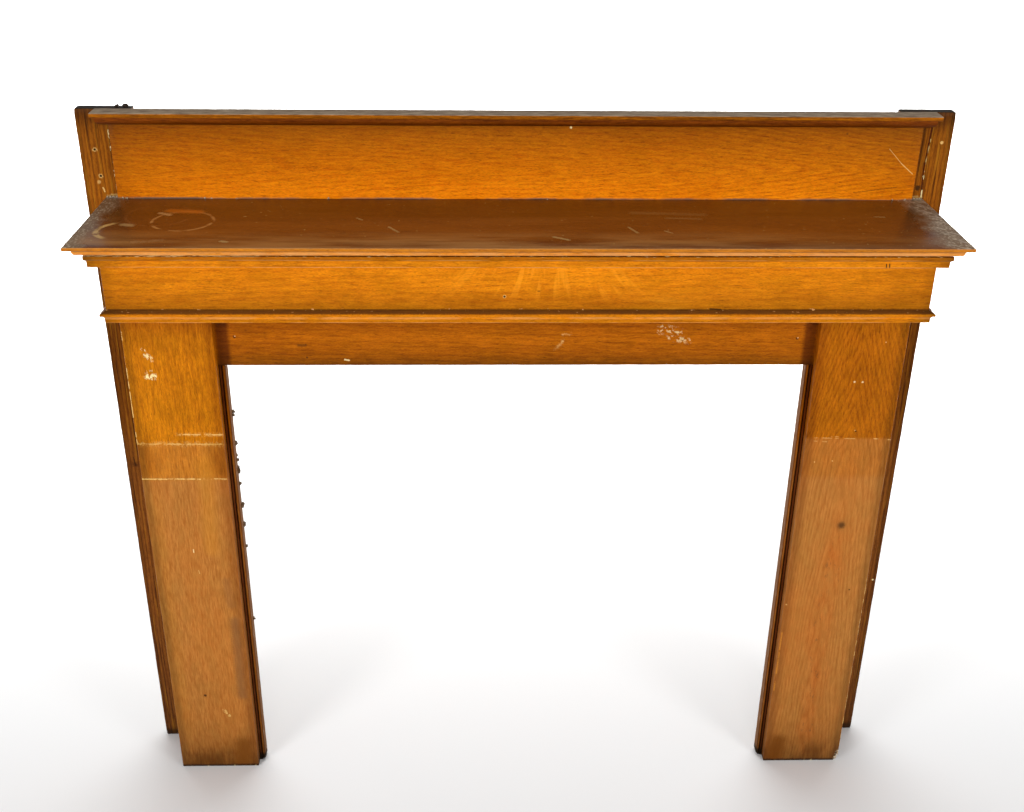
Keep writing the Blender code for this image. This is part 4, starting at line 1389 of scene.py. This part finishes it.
def make_mouldings(tree):
    """Build the three mouldings with their returns."""
    frieze_front = FRIEZE_LOW[1]
    low, high = FRIEZE_HIGH[0], PANEL_HIGH[0]
    for name, profile, wood, half, front, back, slot, seed in (
        ("bed_moulding", bed_profile(), bed_wood, low, frieze_front, PILASTER_FACE_Y, "oak_orange", 40),
        ("necking", necking_profile(), necking_wood, low, frieze_front, PILASTER_FACE_Y, "oak_orange", 50),
        (
            "cap_moulding", cap_profile(), cap_moulding_wood, high, PANEL_LOW[1], PLANK_FACE_Y, "oak_orange",
            60,
        ),
    ):
        woods = (wood(name + "_oak", LONG_X, seed), wood(name + "_return_oak", LONG_Y, seed + 1))
        make_moulding(tree, name, profile, half, front, back, woods, slot, seed)


JAMB_BEAD, JAMB_QUIRK = 0.0066, 0.0012
JAMB_WIDTH, JAMB_DEPTH = 0.045, 0.0215


def jamb_profile():
    """Section of a jamb strip: distance from the opening's edge, and depth behind its face."""
    radius = JAMB_BEAD / 2
    arc = [
        (radius - radius * math.cos(math.radians(angle)), radius * math.sin(math.radians(angle)) - radius)
        for angle in range(0, 181, 20)
    ]
    ends = [(JAMB_BEAD + JAMB_QUIRK, 0.0), (JAMB_WIDTH, 0.0), (JAMB_WIDTH, -JAMB_DEPTH)]
    return [(0.0, -JAMB_DEPTH), *arc, *ends]


def jamb_wood(side, sign):
    """Jamb strip: brown bead between dark grooves, dark edge at the opening and sooty foot."""
    wood = Oak(side + "_jamb_oak", LONG_Z, 17 + sign, BROWN_PALE, BROWN_DEEP, (0.5, 0.02, 0.02), mottling=0.3)
    wood.tint(wood.band(Z, BELOW, 0.80, 0.06), wood.wire.blend(wood.streaks, DULL_DEEP, DULL_PALE), 0.6)
    wood.shade(Z, [(0.0, 0.35), (0.10, 0.62), (0.4, 0.80), (0.80, 0.85), (0.97, 0.60)])
    edge, quirk, joint = 0.557, 0.5642, PILASTER_EDGE
    # The flat beside the pilaster is darkened as painted shadow of the pilaster; the bead's far side, the
    # grooves and the opening's edge are darker too.
    for low, high, tone, strength in (
        (quirk, joint + 0.002, (0.34, 0.24, 0.26), 1.0),
        (edge, edge + 0.0022, (0.36, 0.28, 0.28), 0.9),
        (edge + 0.0048, quirk, (0.55, 0.46, 0.45), 0.9),
        (quirk - 0.0007, quirk + 0.0008, (0.10, 0.07, 0.08), 0.95),
        (joint - 0.0016, joint + 0.002, (0.16, 0.11, 0.12), 0.9),
    ):
        strip = wood.band(X, min(sign * low, sign * high), max(sign * low, sign * high), 0.0005, 0.0003)
        wood.tone(strip, tone, strength)
    near = (sign * (edge + 0.0002), sign * (edge - 0.002))
    raw = wood.band(X, min(near), max(near), 0.0003, 0.0002)
    wood.tint(raw, (0.21, 0.095, 0.038), 0.85)
    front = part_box(side + "_jamb_strip")[0][1]
    bits = wood.both(
        wood.band(Y, front - 0.01, front + 0.005, 0.003), wood.patches((34.0, 170.0), 0.56, 0.66, 3.0),
    )
    wood.tint(wood.both(raw, bits), (0.56, 0.38, 0.22), 0.65)
    wood.dull(raw, 0.3)
    wood.tint(wood.band(Z, BELOW, 0.018, 0.006, 0.004), SOOT, 0.95)
    wood.bare_back(side + "_jamb_strip")
    return wood.finish()


def worn_foot(sign, edge):
    """Return how a jamb's corner beside the opening is rounded off at its foot."""
    radius = 0.0045

    def trim(place):
        if place.z > 0.002:
            return place.x
        return sign * max(abs(place.x), abs(edge) + radius)

    return trim


def make_jambs(tree):
    """Build the two jamb strips with their beads."""
    for side, sign in (("left", -1), ("right", 1)):
        node = side + "_jamb_strip"
        low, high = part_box(node)
        edge = high[0] if sign < 0 else low[0]
        place = Matrix(((0, sign, 0, edge), (0, 0, -1, low[1]), (1, 0, 0, low[2]), (0, 0, 0, 1)))
        wood = jamb_wood(side, sign)
        length = high[2] - low[2]
        moulding_run(
            tree, node, jamb_profile(), length, (0.0, 0.0), place, 80 + sign, wood, "oak_dark", 0.0004,
            worn_foot(sign, edge)
        )


# Crumbs and scraps


def crumb_stuff(name, pale, deep):
    """Rough crumbly stuff, between two tones."""
    material = bpy.data.materials.new(name)
    material.use_nodes = True
    wire = Wiring(material.node_tree)
    shader = wire.nodes["Principled BSDF"]
    place = wire.nodes.new("ShaderNodeTexCoord").outputs["Object"]
    patches = wire.noise(place, 420.0, 4.0, 0.65)
    wire.feed(shader.inputs["Base Color"], wire.blend(wire.spread(patches, 0.35, 0.65), deep, pale))
    wire.feed(shader.inputs["Roughness"], wire.spread(patches, 0.3, 0.7, 0.7, 0.95))
    shader.inputs["Specular IOR Level"].default_value = 0.15
    bumps = wire.nodes.new("ShaderNodeBump")
    bumps.inputs["Strength"].default_value = 0.5
    bumps.inputs["Distance"].default_value = 0.0005
    wire.feed(bumps.inputs["Height"], wire.noise(place, 1500.0, 3.0))
    wire.feed(shader.inputs["Normal"], bumps.outputs[0])
    return material


def make_crumbs(tree):
    """Leave mortar on the left jamb, dust in the corners, putty on a plank and fibres at a break."""
    mortar = crumb_stuff("mortar", (0.26, 0.17, 0.10), (0.06, 0.032, 0.018))
    dust = crumb_stuff("corner_dust", (0.70, 0.56, 0.38), (0.34, 0.25, 0.16))
    putty = crumb_stuff("old_putty", (0.060, 0.042, 0.030), (0.015, 0.010, 0.007))
    fibre = crumb_stuff("torn_fibre", (0.84, 0.74, 0.60), (0.30, 0.20, 0.12))
    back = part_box("left_jamb_strip")[1][1]
    heights = (
        0.874, 0.866, 0.806, 0.802, 0.774, 0.768, 0.747, 0.743, 0.738, 0.712, 0.662, 0.658, 0.617, 0.612,
        0.560, 0.379,
    )
    places = [(-0.5562, back - 0.0015 - 0.0030 * (index % 2), z) for index, z in enumerate(heights)]
    strew(tree, "jamb_mortar", places, 0.0036, 0.0020, 4, 4, mortar, "oak_dark")
    level = SHELF_HIGH[2]
    back = PLANK_FACE_Y - 0.0035
    places = [
        (sign * (0.7410 + 0.0022 * step), back - 0.0008 * (step % 3), level)
        for sign in (-1, 1) for step in range(9)
    ]
    places += [(x, PANEL_LOW[1] - 0.0012, level) for x in (
        -0.729, -0.722, -0.578, -0.566, -0.520, -0.352, 0.055, 0.700, 0.712, 0.724,
    )]
    strew(tree, "corner_dust_bits", places, 0.0016, 0.0018, 4, 7, dust, "oak_orange")
    places = [(-0.7230, 0.1400, CAP_HIGH[2] + 0.0012), (-0.7080, 0.1390, CAP_HIGH[2] + 0.0022)]
    strew(tree, "plank_top_putty", places, 0.0058, 0.0016, 4, 9, putty, "oak_dark")
    face = PILASTER_FACE_Y
    places = [(0.7325, face + 0.002, 0.006), (0.7345, face + 0.002, 0.012), (0.7370, face + 0.002, 0.018)]
    strew(tree, "corner_fibres", places, 0.0021, 0.0022, 5, 12, fibre, "oak_brown")


# Studio


def make_floor():
    """Lay a plain pale floor."""
    mesh = bpy.data.meshes.new("studio_floor")
    work = bmesh.new()
    bmesh.ops.create_grid(work, x_segments=1, y_segments=1, size=14.0)
    work.to_mesh(mesh)
    work.free()
    floor = bpy.data.objects.new("studio_floor", mesh)
    bpy.context.scene.collection.objects.link(floor)
    paint = bpy.data.materials.new("pale_floor")
    paint.use_nodes = True
    shader = paint.node_tree.nodes["Principled BSDF"]
    shader.inputs["Base Color"].default_value = (0.86, 0.86, 0.86, 1)
    shader.inputs["Roughness"].default_value = 0.9
    shader.inputs["Specular IOR Level"].default_value = 0.1
    mesh.materials.append(paint)


def soft_light(name, place, target, size, power, spread=180.0):
    """Hang a square area light that faces a point."""
    lamp = bpy.data.lights.new(name, "AREA")
    lamp.shape = "SQUARE"
    lamp.size = size
    lamp.energy = power
    lamp.spread = math.radians(spread)
    light = bpy.data.objects.new(name, lamp)
    bpy.context.scene.collection.objects.link(light)
    light.location = place
    facing = Vector(target) - Vector(place)
    light.rotation_euler = facing.to_track_quat("-Z", "Y").to_euler()


def light_studio():
    """Light the mantel softly from both sides of the camera, and the floor from above."""
    soft_light("left_key", (-2.6, -2.7, 1.75), (0.0, 0.0, 0.9), 1.1, 53.0)
    soft_light("right_key", (2.6, -2.7, 1.75), (0.0, 0.0, 0.9), 1.1, 43.7)
    soft_light("front_fill", (0.0, -3.4, 2.2), (0.0, 0.0, 0.9), 1.6, 25.3)
    soft_light("floor_wash", (0.0, 9.0, 6.0), (0.0, 9.0, 0.0), 14.0, 2600.0, 70.0)
    world = bpy.data.worlds.new("studio")
    bpy.context.scene.world = world
    world.use_nodes = True
    sky = world.node_tree.nodes["Background"]
    sky.inputs["Color"].default_value = (1.0, 1.0, 1.0, 1.0)
    sky.inputs["Strength"].default_value = 0.31
    bpy.context.scene.view_settings.view_transform = "Standard"


def place_camera():
    """Put the camera where the photograph was taken."""
    pitch, yaw, roll = (math.radians(angle) for angle in (CAMERA_PITCH, CAMERA_YAW, CAMERA_ROLL))
    turn = Matrix.Rotation(-yaw, 3, "Z") @ Matrix.Rotation(pitch, 3, "X")
    right, forward, up = turn.col[0], turn.col[1], turn.col[2]
    rolled_right = math.cos(roll) * right + math.sin(roll) * up
    rolled_up = -math.sin(roll) * right + math.cos(roll) * up
    basis = Matrix((rolled_right, rolled_up, -forward)).transposed()
    lens = bpy.data.cameras.new("camera")
    lens.sensor_fit = "HORIZONTAL"
    lens.sensor_width = SENSOR_WIDTH
    lens.lens = FOCAL_PIXELS * SENSOR_WIDTH / IMAGE_WIDTH
    camera = bpy.data.objects.new("camera", lens)
    bpy.context.scene.collection.objects.link(camera)
    camera.matrix_world = Matrix.Translation(CAMERA_PLACE) @ basis.to_4x4()
    bpy.context.scene.camera = camera


make_boards()
make_shelf(shelf_wood())
run_tree = mitred_run_tree()
make_mouldings(run_tree)
make_jambs(run_tree)
make_crumbs(crumb_tree())
soffit_wood = Oak("soffit_oak", LONG_X, 90, BROWN_PALE, BROWN_DEEP).finish()
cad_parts["frieze_soffit"].data.materials.clear()
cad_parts["frieze_soffit"].data.materials.append(soffit_wood)
make_floor()
light_studio()
place_camera()
